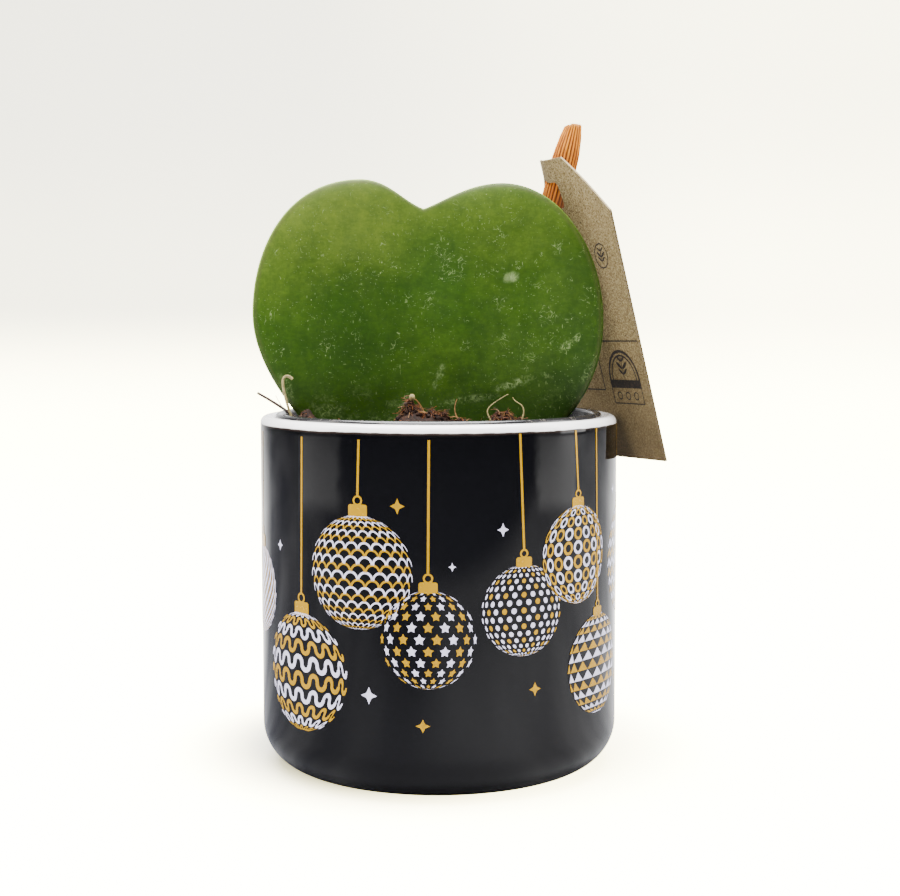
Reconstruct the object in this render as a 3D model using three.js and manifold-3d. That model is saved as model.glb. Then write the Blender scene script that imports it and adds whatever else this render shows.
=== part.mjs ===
// Potted hoya leaf: one thick heart-shaped leaf in a nursery pot of compost, inside a ceramic cover pot,
// with a ribbed reed stick behind it that carries a bent card tag.
// Millimetres, +Z up. The origin is the centre of the cover pot's flat underside, and -Y is the front.

import * as THREE from "three";
import { ImprovedNoise } from "three/addons/math/ImprovedNoise.js";
import { mergeVertices } from "three/addons/utils/BufferGeometryUtils.js";
import Module from "manifold-3d";

const wasm = await Module();
wasm.setup();

// Driving dimensions
const potRadius = 35;
const potHeight = 68.7;
const leafWidth = 68.2;
const leafLobeHeight = 114.1;
const leafThickness = 3.6;
const stickRadius = 2.6;
const stickTop = 126.2;
const tagWidth = 33.6;
const tagHeight = 61.9;
const tagThickness = 0.7;

// Clearance between pieces that touch, and round what stands in the compost
const gap = 0.3;
const pocketGap = 0.7;

// Ceramic cover pot
const potWall = 2.7;
const potFloor = 4;
const potCornerRadius = 8.7;
const potRound = 60;

// Nursery pot
const growWall = 0.8;
const growLipRadius = potRadius - potWall - gap;
const growLipWidth = 1.6;
const growLipTop = potHeight + 0.5;
const growLipDepth = 4.2;
const growTopRadius = 30.2;
const growChamfer = 1;
const growBaseRadius = 24.5;
const growBase = potFloor + gap;
const drainHoleRadius = 2.6;
const drainHoleCircle = 15;

// Compost
const compostBase = growBase + growWall + gap;
const compostLevel = 65.4;
const compostRound = 48;
const crumbReach = 26.2;

// Leaf: its stalk stands left of the pot's axis and a little in front of it
const leafX = -2.2;
const leafY = -3;
const leafBase = 49;
const leafCentreHeight = 86;
const stalkRadius = 2.1;
const stalkFoot = 38;
const valleyDepth = 1.1;
const valleyWidth = 7.5;
const leafCurl = 0.6;

// Stick: the place of its axis at the height of the tag's top edge, and its lean per millimetre of height
const stickAt = new THREE.Vector3(25.4, 8.74, 119);
const stickLean = new THREE.Vector3(0.25, 0.0585, 1);
const stickFoot = 32;
const stickRibs = 13;
const stickRibDepth = 0.16;
const stickWornLength = 7.7;
const stickWornDepth = 1.25;

// Tag: the upper end of its right edge's line, the way its side edges run down, and how it turns away
const tagCorner = new THREE.Vector3(30.25, -8.9, 119.19);
const tagDown = new THREE.Vector3(0.2424, 0.1171, -1).normalize();
const tagTurn = THREE.MathUtils.degToRad(60.5);
const tagHeadTurn = THREE.MathUtils.degToRad(24);
const tagCut = 11.8;
const slotTop = 4.8;
const slotLength = 8.5;
const slotWidth = 6;
const slotMiddle = 17.1;

// How far the stick pushes the card out beside the slot
const tagPush = 1.2;

const noise = new ImprovedNoise();
const { clamp, lerp, seededRandom, smoothstep } = THREE.MathUtils;

// Solids

// A closed solid of a geometry, with its doubled vertices merged and its faces turned outwards
function toSolid(geometry) {
  const bare = new THREE.BufferGeometry();
  bare.setAttribute("position", geometry.getAttribute("position").clone());
  if (geometry.index) {
    bare.setIndex(geometry.index.clone());
  }
  const merged = mergeVertices(bare, 1e-4);
  const triangles = [];
  const index = merged.index.array;
  for (let i = 0; i < index.length; i += 3) {
    const [a, b, c] = [index[i], index[i + 1], index[i + 2]];
    if (a !== b && b !== c && a !== c) {
      triangles.push(a, b, c);
    }
  }
  const vertProperties = new Float32Array(merged.getAttribute("position").array);
  const outward = signedVolume(vertProperties, triangles) > 0;
  if (!outward) {
    triangles.reverse();
  }
  return new wasm.Manifold(
    new wasm.Mesh({ numProp: 3, vertProperties, triVerts: new Uint32Array(triangles) }),
  );
}

function signedVolume(positions, triangles) {
  const [a, b, c] = [new THREE.Vector3(), new THREE.Vector3(), new THREE.Vector3()];
  let volume = 0;
  for (let i = 0; i < triangles.length; i += 3) {
    a.fromArray(positions, triangles[i] * 3);
    b.fromArray(positions, triangles[i + 1] * 3);
    c.fromArray(positions, triangles[i + 2] * 3);
    volume += a.dot(b.cross(c)) / 6;
  }
  return volume;
}

function toGeometry(solid) {
  const mesh = solid.getMesh();
  const geometry = new THREE.BufferGeometry();
  geometry.setAttribute("position", new THREE.BufferAttribute(new Float32Array(mesh.vertProperties), 3));
  geometry.setIndex(new THREE.BufferAttribute(new Uint32Array(mesh.triVerts), 1));
  geometry.computeVertexNormals();
  return geometry;
}

// The largest piece of a cut solid: loose scraps are dropped
function largest(solid) {
  return solid.decompose().reduce((best, piece) => (piece.volume() > best.volume() ? piece : best));
}

// Moves each vertex of a geometry by a function that changes the vector it is given
function reshape(geometry, move) {
  const position = geometry.getAttribute("position");
  const point = new THREE.Vector3();
  for (let i = 0; i < position.count; i += 1) {
    point.fromBufferAttribute(position, i);
    move(point);
    position.setXYZ(i, point.x, point.y, point.z);
  }
  return geometry;
}

// A body turned about Z from a path in radius and height
function turned(path, arcSteps, round) {
  const geometry = new THREE.LatheGeometry(path.getPoints(arcSteps), round);
  return geometry.rotateX(Math.PI / 2);
}

// A strand of round section along a smooth curve through its points
function strand(points, radius, sides, steps) {
  const section = new THREE.Shape();
  for (let i = 0; i < sides; i += 1) {
    const angle = (i / sides) * 2 * Math.PI;
    const corner = [radius * Math.cos(angle), radius * Math.sin(angle)];
    if (i === 0) {
      section.moveTo(...corner);
    } else {
      section.lineTo(...corner);
    }
  }
  const curve = new THREE.CatmullRomCurve3(points.map((p) => new THREE.Vector3(...p)));
  const settings = { steps, extrudePath: curve, bevelEnabled: false };
  return toSolid(new THREE.ExtrudeGeometry(section, settings));
}

// Ceramic cover pot

function ceramicPotSolid() {
  const rim = potWall / 2;
  const inside = potRadius - potWall;
  const innerCorner = potCornerRadius - potWall;
  const path = new THREE.Path();
  path.moveTo(0, 0);
  path.lineTo(potRadius - potCornerRadius, 0);
  path.absarc(potRadius - potCornerRadius, potCornerRadius, potCornerRadius, -Math.PI / 2, 0);
  path.absarc(potRadius - rim, potHeight - rim, rim, 0, Math.PI);
  path.absarc(inside - innerCorner, potFloor + innerCorner, innerCorner, 0, -Math.PI / 2, true);
  path.lineTo(0, potFloor);
  return toSolid(turned(path, 3, potRound));
}

// Nursery pot

// Outer radius of the nursery pot's wall at a height
function growRadius(z) {
  return lerp(growBaseRadius, growTopRadius, (z - growBase) / (growLipTop - growLipDepth - growBase));
}

function growPotSolid() {
  const lipInside = growLipRadius - growLipWidth;
  const lipRound = growLipWidth / 2;
  const lipFoot = growLipTop - growLipDepth;
  const path = new THREE.Path();
  path.moveTo(0, growBase);
  path.lineTo(growBaseRadius - growChamfer, growBase);
  path.lineTo(growBaseRadius, growBase + growChamfer);
  path.lineTo(growTopRadius, lipFoot);
  path.lineTo(growLipRadius, lipFoot + 0.4);
  path.absarc(growLipRadius - lipRound, growLipTop - lipRound, lipRound, 0, Math.PI);
  path.lineTo(lipInside, lipFoot + 1.6);
  path.lineTo(growRadius(lipFoot) - growWall, lipFoot - 0.4);
  path.lineTo(growBaseRadius - growWall, growBase + growWall + growChamfer);
  path.lineTo(growBaseRadius - growWall - growChamfer, growBase + growWall);
  path.lineTo(0, growBase + growWall);
  let pot = toSolid(turned(path, 2, potRound));
  const holes = 6;
  for (let i = 0; i < holes; i += 1) {
    const angle = (i / holes) * 2 * Math.PI;
    const drill = new THREE.CylinderGeometry(drainHoleRadius, drainHoleRadius, 4, 16);
    drill.rotateX(Math.PI / 2);
    drill.translate(drainHoleCircle * Math.cos(angle), drainHoleCircle * Math.sin(angle), growBase);
    pot = pot.subtract(toSolid(drill));
  }
  return pot;
}

// Leaf

// The heart's outline round its centre, as an angle from straight up, clockwise seen from the front
function leafOutline() {
  const side = leafWidth / 2;
  const notch = [-0.6, 108];
  const base = [0, leafBase];
  const rightTop = leafLobeHeight - 0.7;
  const shape = new THREE.Shape();
  shape.moveTo(...notch);
  shape.bezierCurveTo(3.6, 109.4, 7.9, rightTop, 14.4, rightTop);
  shape.bezierCurveTo(25, rightTop, side, 99.9, side, 88);
  shape.bezierCurveTo(side, 66.7, 13.3, 56.4, ...base);
  shape.bezierCurveTo(-14.5, 55.5, -side, 73.1, -side, 88.3);
  shape.bezierCurveTo(-side, 100.2, -27.3, leafLobeHeight, -12.8, leafLobeHeight);
  shape.bezierCurveTo(-7.6, leafLobeHeight, -4.4, 109.7, ...notch);
  return shape;
}

// How far the midrib's valley sinks the front face, deepest just under the notch
function leafValley(x, z) {
  const along = smoothstep(z, leafBase + 8, 104);
  return valleyDepth * along * Math.exp(-((x / valleyWidth) ** 2));
}

// The leaf as a flattened ball drawn out to the heart's outline; grown is how much larger it is all round
function leafSolid(grown) {
  const around = grown > 0 ? 36 : 64;
  const rings = grown > 0 ? 12 : 18;
  const outline = leafOutline().getSpacedPoints(around);
  const ball = new THREE.SphereGeometry(1, around, rings);
  const halfThickness = leafThickness / 2 + grown;
  reshape(ball, (point) => {
    const turn = Math.atan2(point.z, point.x) / (2 * Math.PI);
    const step = (Math.round(turn * around) + around) % around;
    const edge = outline[step];
    const reach = Math.asin(clamp(Math.hypot(point.x, point.z), 0, 1)) / (Math.PI / 2);
    const out = 1 - (1 - reach) ** 1.25;
    const scale = (out * (Math.hypot(edge.x, edge.y - leafCentreHeight) + grown))
      / Math.hypot(edge.x, edge.y - leafCentreHeight);
    const x = edge.x * scale;
    const z = leafCentreHeight + (edge.y - leafCentreHeight) * scale;
    const thick = halfThickness * (1 - out ** 9) ** 0.5;
    const front = point.y < 0;
    const curl = leafCurl * (x / (leafWidth / 2)) ** 2;
    const y = curl + (front ? leafValley(x, z) * (1 - out ** 12) * 0.9 - thick : thick * 0.85);
    point.set(leafX + x, leafY + y, z);
  });
  const stalk = new THREE.CylinderGeometry(stalkRadius + grown, stalkRadius * 0.85 + grown, 1, 16);
  stalk.rotateX(Math.PI / 2);
  stalk.scale(1, 0.8, leafBase + 4 - stalkFoot + grown);
  stalk.translate(leafX, leafY, (leafBase + 4 + stalkFoot - grown) / 2);
  return toSolid(ball).add(toSolid(stalk));
}

// Stick

// A ribbed reed, worn slimmer towards its cut top
function stickSolid(grown) {
  const length = stickTop - stickFoot + grown;
  const ribSteps = grown > 0 ? 1 : 4;
  const reed = new THREE.CylinderGeometry(1, 1, 1, stickRibs * ribSteps, 8);
  reed.rotateX(Math.PI / 2);
  reshape(reed, (point) => {
    const z = stickTop - length * (0.5 - point.z) ** 2;
    const angle = Math.atan2(point.y, point.x);
    const inner = Math.hypot(point.x, point.y) < 0.5;
    const rib = grown > 0 ? 0 : stickRibDepth * (Math.cos(angle * stickRibs) - 1);
    const worn = Math.max(0, 1 - (stickTop - z) / stickWornLength);
    const radius = inner ? 0 : stickRadius + grown + rib - stickWornDepth * worn * worn;
    const above = z - stickAt.z;
    point.set(
      stickAt.x + stickLean.x * above + radius * Math.cos(angle),
      stickAt.y + stickLean.y * above + radius * Math.sin(angle),
      z,
    );
  });
  return toSolid(reed);
}

// Tag

// A point of the card: across is measured from its right edge, down from its top edge, and out from its
// middle surface towards the stick's upper end
function onTag(across, down, out) {
  const side = new THREE.Vector3(1, 0, 0).addScaledVector(tagDown, -tagDown.x).normalize();
  const back = new THREE.Vector3().crossVectors(side, tagDown);
  const steps = 24;
  const point = tagCorner.clone().addScaledVector(tagDown, down);
  const headTurn = tagHeadTurn * (1 - smoothstep(down, 6, 40));
  const heading = (s) => tagTurn + headTurn * smoothstep(s, 12, 26);
  for (let i = 0; i < steps; i += 1) {
    const turn = heading(((i + 0.5) / steps) * across);
    point.addScaledVector(side, (-Math.cos(turn) * across) / steps);
    point.addScaledVector(back, (Math.sin(turn) * across) / steps);
  }
  const turn = heading(across);
  const normal = side.clone().multiplyScalar(Math.sin(turn)).addScaledVector(back, Math.cos(turn));
  const fromSlot = (across - tagWidth / 2) / 7;
  const pushed = tagPush * Math.exp(-fromSlot * fromSlot) * (1 - smoothstep(down, 3, 16));
  return point.addScaledVector(normal, out - pushed);
}

function tagSolid() {
  const cutRows = 6;
  const plainRows = 7;
  const sheet = new THREE.BoxGeometry(1, 1, 1, 16, cutRows + plainRows, 1);
  reshape(sheet, (point) => {
    const row = Math.round((0.5 - point.y) * (cutRows + plainRows));
    const down = row <= cutRows
      ? (row / cutRows) * tagCut
      : lerp(tagCut, tagHeight, (row - cutRows) / plainRows);
    const inset = Math.max(0, tagCut - down);
    const across = lerp(inset, tagWidth - inset, point.x + 0.5);
    point.copy(onTag(across, down, point.z * tagThickness));
  });
  return toSolid(sheet).subtract(slotSolid()).subtract(stickSolid(gap + 0.1));
}

// The round-ended slot under the tag's top edge, as a cutter bent like the card
function slotSolid() {
  const radius = slotWidth / 2;
  const slot = new THREE.Shape();
  slot.absarc(slotMiddle, slotTop + radius, radius, Math.PI, 2 * Math.PI);
  slot.absarc(slotMiddle, slotTop + slotLength - radius, radius, 0, Math.PI);
  const cutter = new THREE.ExtrudeGeometry(slot, { depth: 2, bevelEnabled: false, curveSegments: 6 });
  reshape(cutter, (point) => {
    point.copy(onTag(point.x, point.y, point.z - 1));
  });
  return toSolid(cutter);
}

// Compost

// Mounds of coir: centre, width and height
const mounds = [
  [-26, -6, 5, 2.6],
  [-3, -9.5, 6.5, 4.4],
  [12.5, -9.5, 4.5, 3],
  [4, 12, 9, 1.5],
];

// Height of the compost's surface
function compostTop(x, y) {
  let z = compostLevel - 0.05 * x;
  z += 1.5 * noise.noise(x * 0.21, y * 0.21, 0.5) + 0.8 * noise.noise(x * 0.5, y * 0.5, 3.5);
  for (const [mx, my, width, height] of mounds) {
    z += height * Math.exp(-((x - mx) ** 2 + (y - my) ** 2) / (width * width));
  }
  return z;
}

function compostBody() {
  const wallTop = compostLevel - 3;
  const inner = (z) => growRadius(z) - growWall - gap;
  const path = new THREE.Path();
  path.moveTo(0, compostBase);
  path.lineTo(growBaseRadius - growWall - gap - growChamfer - 0.3, compostBase);
  path.lineTo(growBaseRadius - growWall - gap, compostBase + growChamfer + 0.6);
  path.lineTo(inner(wallTop), wallTop);
  const rings = 9;
  for (let i = 0; i <= rings; i += 1) {
    path.lineTo(inner(wallTop) * (1 - i / rings), compostLevel);
  }
  return toSolid(reshape(turned(path, 2, compostRound), (point) => {
    if (point.z > compostLevel - 0.01) {
      point.z = compostTop(point.x, point.y);
    }
  }));
}

// Crumbs of compost, half sunk into the surface
function crumbs() {
  const parts = [];
  const count = 20;
  for (let i = 0; i < count; i += 1) {
    const onMound = i < 12 ? mounds[i % 3] : null;
    const spread = 2 * Math.PI * seededRandom(11 + i);
    const away = (onMound ? 3.4 : 24) * Math.sqrt(seededRandom(71 + i));
    const wantedX = (onMound ? onMound[0] : 0) + away * Math.cos(spread);
    const wantedY = (onMound ? onMound[1] : 0) + away * Math.sin(spread);
    const inside = Math.min(1, crumbReach / Math.hypot(wantedX, wantedY));
    const [x, y] = [wantedX * inside, wantedY * inside];
    const size = lerp(0.9, 1.9, seededRandom(131 + i));
    const crumb = new THREE.IcosahedronGeometry(size, 1);
    reshape(crumb, (point) => {
      const rough = noise.noise(point.x * 0.9 + i, point.y * 0.9, point.z * 0.9);
      point.multiplyScalar(1 + 0.45 * rough);
      point.z *= 0.8;
    });
    crumb.translate(x, y, compostTop(x, y) + size * 0.2);
    parts.push(toSolid(crumb));
  }
  return parts;
}

// Coir fibres that arch out of the surface and back into it
function archedFibres() {
  const parts = [];
  const count = 22;
  for (let i = 0; i < count; i += 1) {
    const spread = 2 * Math.PI * seededRandom(211 + i);
    const away = 24 * Math.sqrt(seededRandom(271 + i));
    const heading = 2 * Math.PI * seededRandom(331 + i);
    const reach = lerp(2.4, 4.6, seededRandom(391 + i));
    const lift = lerp(0.8, 2.2, seededRandom(451 + i));
    const at = (s, rise) => {
      const x = away * Math.cos(spread) + s * reach * Math.cos(heading + 0.4 * s);
      const y = away * Math.sin(spread) + s * reach * Math.sin(heading + 0.4 * s);
      return [x, y, compostTop(x, y) + rise];
    };
    const points = [at(-1, -1.8), at(-0.5, lift * 0.7), at(0.1, lift), at(0.6, lift * 0.5), at(1, -1.8)];
    parts.push(strand(points, 0.4, 3, 6));
  }
  return parts;
}

// The strands that stand up where they show, by radius and points. Each starts well under the surface.
const standingStrands = [
  // A straw over the left rim, and a pale hooked rootlet beside it
  [0.45, [[-25.6, -4, 65.5], [-29.5, -4.2, 69.4], [-32.4, -4.3, 71.3], [-35.6, -4.5, 73.4]]],
  [0.42, [
    [-27, -8, 65.5], [-28.5, -8.2, 69.6], [-30, -8.4, 73.4],
    [-30.1, -8.6, 75.9], [-29.2, -8.8, 76.9], [-28.2, -8.9, 76],
  ]],
  // Rootlets in front of the leaf
  [0.36, [[-3, -10, 66.5], [-1.6, -9.6, 69.6], [0.4, -9, 71.2], [2.2, -8.6, 72.3], [3.6, -8.2, 72.6]]],
  [0.36, [[-7.4, -10, 67], [-7.2, -9.4, 70.4], [-6, -8.8, 72.8], [-5.2, -8.6, 73.4]]],
  [0.36, [[11.6, -11, 66.5], [9.2, -10.6, 69.8], [10.4, -10, 71.6], [13.6, -9.4, 73.2]]],
  [0.36, [[16.4, -11, 66], [16.8, -10.4, 69.6], [16.2, -10, 71.2], [14.4, -9.6, 72.6]]],
];

function compostSolid() {
  let compost = compostBody();
  for (const part of [...crumbs(), ...archedFibres()]) {
    compost = compost.add(part);
  }
  for (const [radius, points] of standingStrands) {
    compost = compost.add(strand(points, radius, 4, 9));
  }
  return largest(compost.subtract(leafSolid(pocketGap)).subtract(stickSolid(pocketGap)));
}

// The object

function piece(name, solid, colour, roughness) {
  const material = new THREE.MeshStandardMaterial({ color: colour, roughness, metalness: 0 });
  const mesh = new THREE.Mesh(toGeometry(solid), material);
  mesh.name = name;
  return mesh;
}

const pottedHoya = new THREE.Group();
pottedHoya.add(piece("ceramic_pot", ceramicPotSolid(), 0x1b1c22, 0.1));
pottedHoya.add(piece("grow_pot", growPotSolid(), 0x1c1c1d, 0.4));
pottedHoya.add(piece("compost", compostSolid(), 0x4b3323, 0.95));
pottedHoya.add(piece("leaf", leafSolid(0), 0x3f7a1f, 0.45));
pottedHoya.add(piece("stick", stickSolid(0), 0xc8873f, 0.7));
pottedHoya.add(piece("tag", tagSolid(), 0xa2947d, 0.9));

export default pottedHoya;
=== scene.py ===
import math
import random

import bpy
from mathutils import Matrix, Vector, noise


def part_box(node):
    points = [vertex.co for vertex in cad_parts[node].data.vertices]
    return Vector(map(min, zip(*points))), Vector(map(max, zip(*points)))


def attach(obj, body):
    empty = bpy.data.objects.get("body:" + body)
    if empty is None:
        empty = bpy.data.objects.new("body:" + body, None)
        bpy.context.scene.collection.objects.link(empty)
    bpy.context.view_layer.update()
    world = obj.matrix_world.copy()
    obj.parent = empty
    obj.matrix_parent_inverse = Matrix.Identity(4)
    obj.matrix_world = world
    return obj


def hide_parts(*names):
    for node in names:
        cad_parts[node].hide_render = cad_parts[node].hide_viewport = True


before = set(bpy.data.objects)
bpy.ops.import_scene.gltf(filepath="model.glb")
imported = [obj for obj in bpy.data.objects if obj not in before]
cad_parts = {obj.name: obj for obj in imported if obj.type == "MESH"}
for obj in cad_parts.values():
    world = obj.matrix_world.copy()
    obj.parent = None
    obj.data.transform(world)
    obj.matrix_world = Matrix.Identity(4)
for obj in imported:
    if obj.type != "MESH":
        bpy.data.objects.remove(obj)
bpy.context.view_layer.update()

mm = 0.001
veryClose = 0.0001 * mm
upright = (math.pi / 2, 0, 0)


# Small helpers for picking, shaping and finishing a piece

def objectMode():
    if bpy.context.object and bpy.context.object.mode != "OBJECT":
        bpy.ops.object.mode_set(mode="OBJECT")


def deselectAll():
    objectMode()
    bpy.ops.object.select_all(action="DESELECT")


def pickOnly(*pieces):
    deselectAll()
    for piece in pieces:
        piece.select_set(True)
    bpy.context.view_layer.objects.active = pieces[0]


def selectAll():
    bpy.ops.mesh.select_all(action="SELECT")


def startEdit(piece, pick="VERT", action="SELECT"):
    pickOnly(piece)
    bpy.ops.object.mode_set(mode="EDIT")
    bpy.ops.mesh.select_mode(type=pick)
    bpy.ops.mesh.select_all(action=action)


def editWhere(piece, pick, wanted):
    # edits the piece with only those vertices or edges selected that pass the test
    startEdit(piece, pick, "DESELECT")
    objectMode()
    for part in piece.data.vertices if pick == "VERT" else piece.data.edges:
        part.select = wanted(part)
    bpy.ops.object.mode_set(mode="EDIT")


def extrudeEdges(*move):
    bpy.ops.mesh.extrude_edges_move(TRANSFORM_OT_translate={"value": move})


def named(name):
    piece = bpy.context.active_object
    piece.name = name
    piece.data.name = name
    return piece


def settle(piece, **placing):
    # works its scale, turn and place into its mesh, so that it sits at the origin
    for key, value in placing.items():
        setattr(piece, key, value)
    pickOnly(piece)
    bpy.ops.object.transform_apply(location=True, rotation=True, scale=True)
    return piece


def startWith(name, add, scale=(1, 1, 1), **options):
    # a settled primitive
    deselectAll()
    add(**options)
    return settle(named(name), scale=scale)


def shapeWith(piece, kind, **settings):
    # adds a modifier and applies it
    modifier = piece.modifiers.new("shaping", kind)
    for key, value in settings.items():
        setattr(modifier, key, value)
    pickOnly(piece)
    bpy.ops.object.modifier_apply(modifier=modifier.name)


def tidyNormals(piece, closeness=veryClose):
    startEdit(piece)
    bpy.ops.mesh.remove_doubles(threshold=closeness)
    bpy.ops.mesh.normals_make_consistent(inside=False)
    objectMode()


def smooth(piece, degrees):
    pickOnly(piece)
    bpy.ops.object.shade_smooth_by_angle(angle=math.radians(degrees))


def join(name, pieces):
    pickOnly(*pieces)
    bpy.ops.object.join()
    return named(name)


def copyOf(piece):
    # a copy with its own mesh
    twin = piece.copy()
    twin.data = piece.data.copy()
    bpy.context.collection.objects.link(twin)
    return twin


def discard(*pieces):
    for piece in pieces:
        bpy.data.objects.remove(piece, do_unlink=True)


def cutOut(piece, cutter):
    shapeWith(piece, "BOOLEAN", operation="DIFFERENCE", solver="EXACT", object=cutter)
    discard(cutter)


def writeValues(piece, name, values, domain="POINT"):
    # an attribute that the piece's material reads
    piece.data.attributes.new(name, "FLOAT", domain).data.foreach_set("value", values)


def turnProfile(name, profile, sides):
    # a ring of edges extruded from station to station, with its first and last ring filled
    radius, height = profile[0]
    piece = startWith(name, bpy.ops.mesh.primitive_circle_add, vertices=sides, radius=radius,
                      location=(0, 0, height))
    startEdit(piece, "EDGE")
    bpy.ops.mesh.edge_face_add()
    selectAll()
    bpy.ops.mesh.region_to_loop()
    for nextRadius, nextHeight in profile[1:]:
        grow = nextRadius / radius
        extrudeEdges(0, 0, nextHeight - height)
        bpy.ops.transform.resize(value=(grow, grow, 1), center_override=(0, 0, nextHeight))
        radius, height = nextRadius, nextHeight
    bpy.ops.mesh.edge_face_add()
    tidyNormals(piece, 0.01 * mm)
    return piece


def arc(centreRadius, centreHeight, size, start, end, steps):
    # stations of a profile round an arc, with its angles in degrees
    angles = [math.radians(start + (end - start) * i / steps) for i in range(steps + 1)]
    return [(centreRadius + size * math.cos(a), centreHeight + size * math.sin(a)) for a in angles]


def strand(name, points, thickness, tip=1.0, sides=2, steps=6):
    # a smooth round strand through the points, tapering to its tip
    deselectAll()
    bpy.ops.curve.primitive_nurbs_path_add()
    path = bpy.context.active_object
    curve = path.data
    curve.splines.clear()
    spline = curve.splines.new("NURBS")
    spline.points.add(len(points) - 1)
    for i, (point, place) in enumerate(zip(spline.points, points)):
        point.co = (*place, 1)
        point.radius = 1 + (tip - 1) * i / (len(points) - 1)
    spline.use_endpoint_u, spline.order_u = True, 4
    curve.dimensions, curve.resolution_u = "3D", steps
    curve.bevel_depth, curve.bevel_resolution = thickness / 2, sides
    curve.use_fill_caps = True
    pickOnly(path)
    bpy.ops.object.convert(target="MESH")
    piece = named(name)
    tidyNormals(piece, 0.01 * mm)
    return settle(piece)


def smoothstep(value, low, high):
    t = min(1, max(0, (value - low) / (high - low)))
    return t * t * (3 - 2 * t)


# Camera

cameraPlace = {
    "place": (2.233 * mm, -324.17 * mm, 87.875 * mm),
    "pitchDown": 4.578,
    "roll": -0.094,
    "lens": 65.87,
    "sensor": 36,
    "clip": (0.01, 20),
}


def makeCamera():
    deselectAll()
    bpy.ops.object.camera_add(location=cameraPlace["place"])
    camera = bpy.context.active_object
    camera.name = "photoCamera"
    down = Matrix.Rotation(math.radians(90 - cameraPlace["pitchDown"]), 4, "X")
    tilt = Matrix.Rotation(math.radians(cameraPlace["roll"]), 4, "Z")
    camera.matrix_world = Matrix.Translation(cameraPlace["place"]) @ down @ tilt
    camera.data.lens = cameraPlace["lens"]
    camera.data.sensor_width = cameraPlace["sensor"]
    camera.data.clip_start, camera.data.clip_end = cameraPlace["clip"]
    bpy.context.scene.camera = camera


makeCamera()
print("camera set")


# Nodes, added to the tree that is being drawn. Sums and products of wires add Math nodes.

drawn = {"tree": None}
socketKinds = {"Place": "NodeSocketVector", "Shade": "NodeSocketColor"}


class Wire:
    # one output of a node
    def __init__(self, socket):
        self.socket = socket

    def __add__(self, other):
        return mathNode("ADD", self, other)

    def __sub__(self, other):
        return mathNode("SUBTRACT", self, other)

    def __rsub__(self, other):
        return mathNode("SUBTRACT", other, self)

    def __mul__(self, other):
        return mathNode("MULTIPLY", self, other)

    def __truediv__(self, other):
        return mathNode("DIVIDE", self, other)

    def __abs__(self):
        return mathNode("ABSOLUTE", self)


def feed(socket, value):
    # links a wire, or sets a plain value
    if isinstance(value, Wire):
        drawn["tree"].links.new(value.socket, socket)
    else:
        socket.default_value = (*value, 1) if socket.type == "RGBA" else value


def connect(inputs, **values):
    for label, value in values.items():
        feed(inputs[label.replace("_", " ")], value)


def addNode(kind, inputs=(), output=0, **settings):
    # inputs are fed by number or name; a tuple of outputs gives back a list of wires
    node = drawn["tree"].nodes.new("ShaderNode" + kind)
    for key, value in settings.items():
        setattr(node, key, value)
    for key, value in dict(inputs).items():
        feed(node.inputs[key], value)
    if isinstance(output, tuple):
        return [Wire(node.outputs[key]) for key in output]
    return Wire(node.outputs[output])


def mathNode(operation, *values, clamp=False):
    return addNode("Math", enumerate(values), operation=operation, use_clamp=clamp)


def highest(first, *others):
    for other in others:
        first = mathNode("MAXIMUM", first, other)
    return first


def mixColours(factor, first, second, blend="MIX"):
    return addNode("Mix", {0: factor, 6: first, 7: second}, 2, data_type="RGBA", blend_type=blend)


def brighter(shade, gains):
    return mixColours(1.0, shade, gains, "MULTIPLY")


def mixValues(factor, first, second):
    return addNode("Mix", {0: factor, 2: first, 3: second}, data_type="FLOAT")


def ramp(value, low, high):
    # 0 below low, 1 above high, smooth between them
    return addNode("MapRange", {"Value": value, "From Min": low, "From Max": high},
                   interpolation_type="SMOOTHSTEP")


def rampMm(value, low, high):
    return ramp(value, low * mm, high * mm)


def noiseNode(place, scale, detail=3.0, roughness=0.55, distortion=0.0):
    return addNode("TexNoise", {"Vector": place, "Scale": scale, "Detail": detail,
                                "Roughness": roughness, "Distortion": distortion}, "Fac")


def objectPlace(stretch=(1, 1, 1), turn=(0, 0, 0), shift=(0, 0, 0)):
    return addNode("Mapping", {"Vector": addNode("TexCoord", output="Object"), "Scale": stretch,
                               "Rotation": turn, "Location": shift})


def attribute(name):
    return addNode("Attribute", output="Fac", attribute_name=name)


def axes(place, names="XYZ"):
    return addNode("SeparateXYZ", {0: place}, tuple(names))


def flatPlace(across, along):
    return addNode("CombineXYZ", {0: across, 1: along})


def distance(across, along):
    return addNode("VectorMath", {0: flatPlace(across, along)}, "Value", operation="LENGTH")


def bump(height, depth, strength, under=None):
    inputs = {"Height": height, "Distance": depth, "Strength": strength}
    if under:
        inputs["Normal"] = under
    return addNode("Bump", inputs)


def makeGroup(name, inputs, outputs, draw):
    # a shared effect: draw takes the wires of the inputs and gives back one for each output
    group = drawn["tree"] = bpy.data.node_groups.new(name, "ShaderNodeTree")
    for way, labels in (("INPUT", inputs), ("OUTPUT", outputs)):
        for label in labels:
            group.interface.new_socket(name=label, in_out=way,
                                       socket_type=socketKinds.get(label, "NodeSocketFloat"))
    given, result = group.nodes.new("NodeGroupInput"), group.nodes.new("NodeGroupOutput")
    for label, wire in zip(outputs, draw(*(Wire(given.outputs[label]) for label in inputs))):
        feed(result.inputs[label], wire)
    return group


def useGroup(group, *values, output=0):
    return addNode("Group", enumerate(values), output, node_tree=group)


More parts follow.
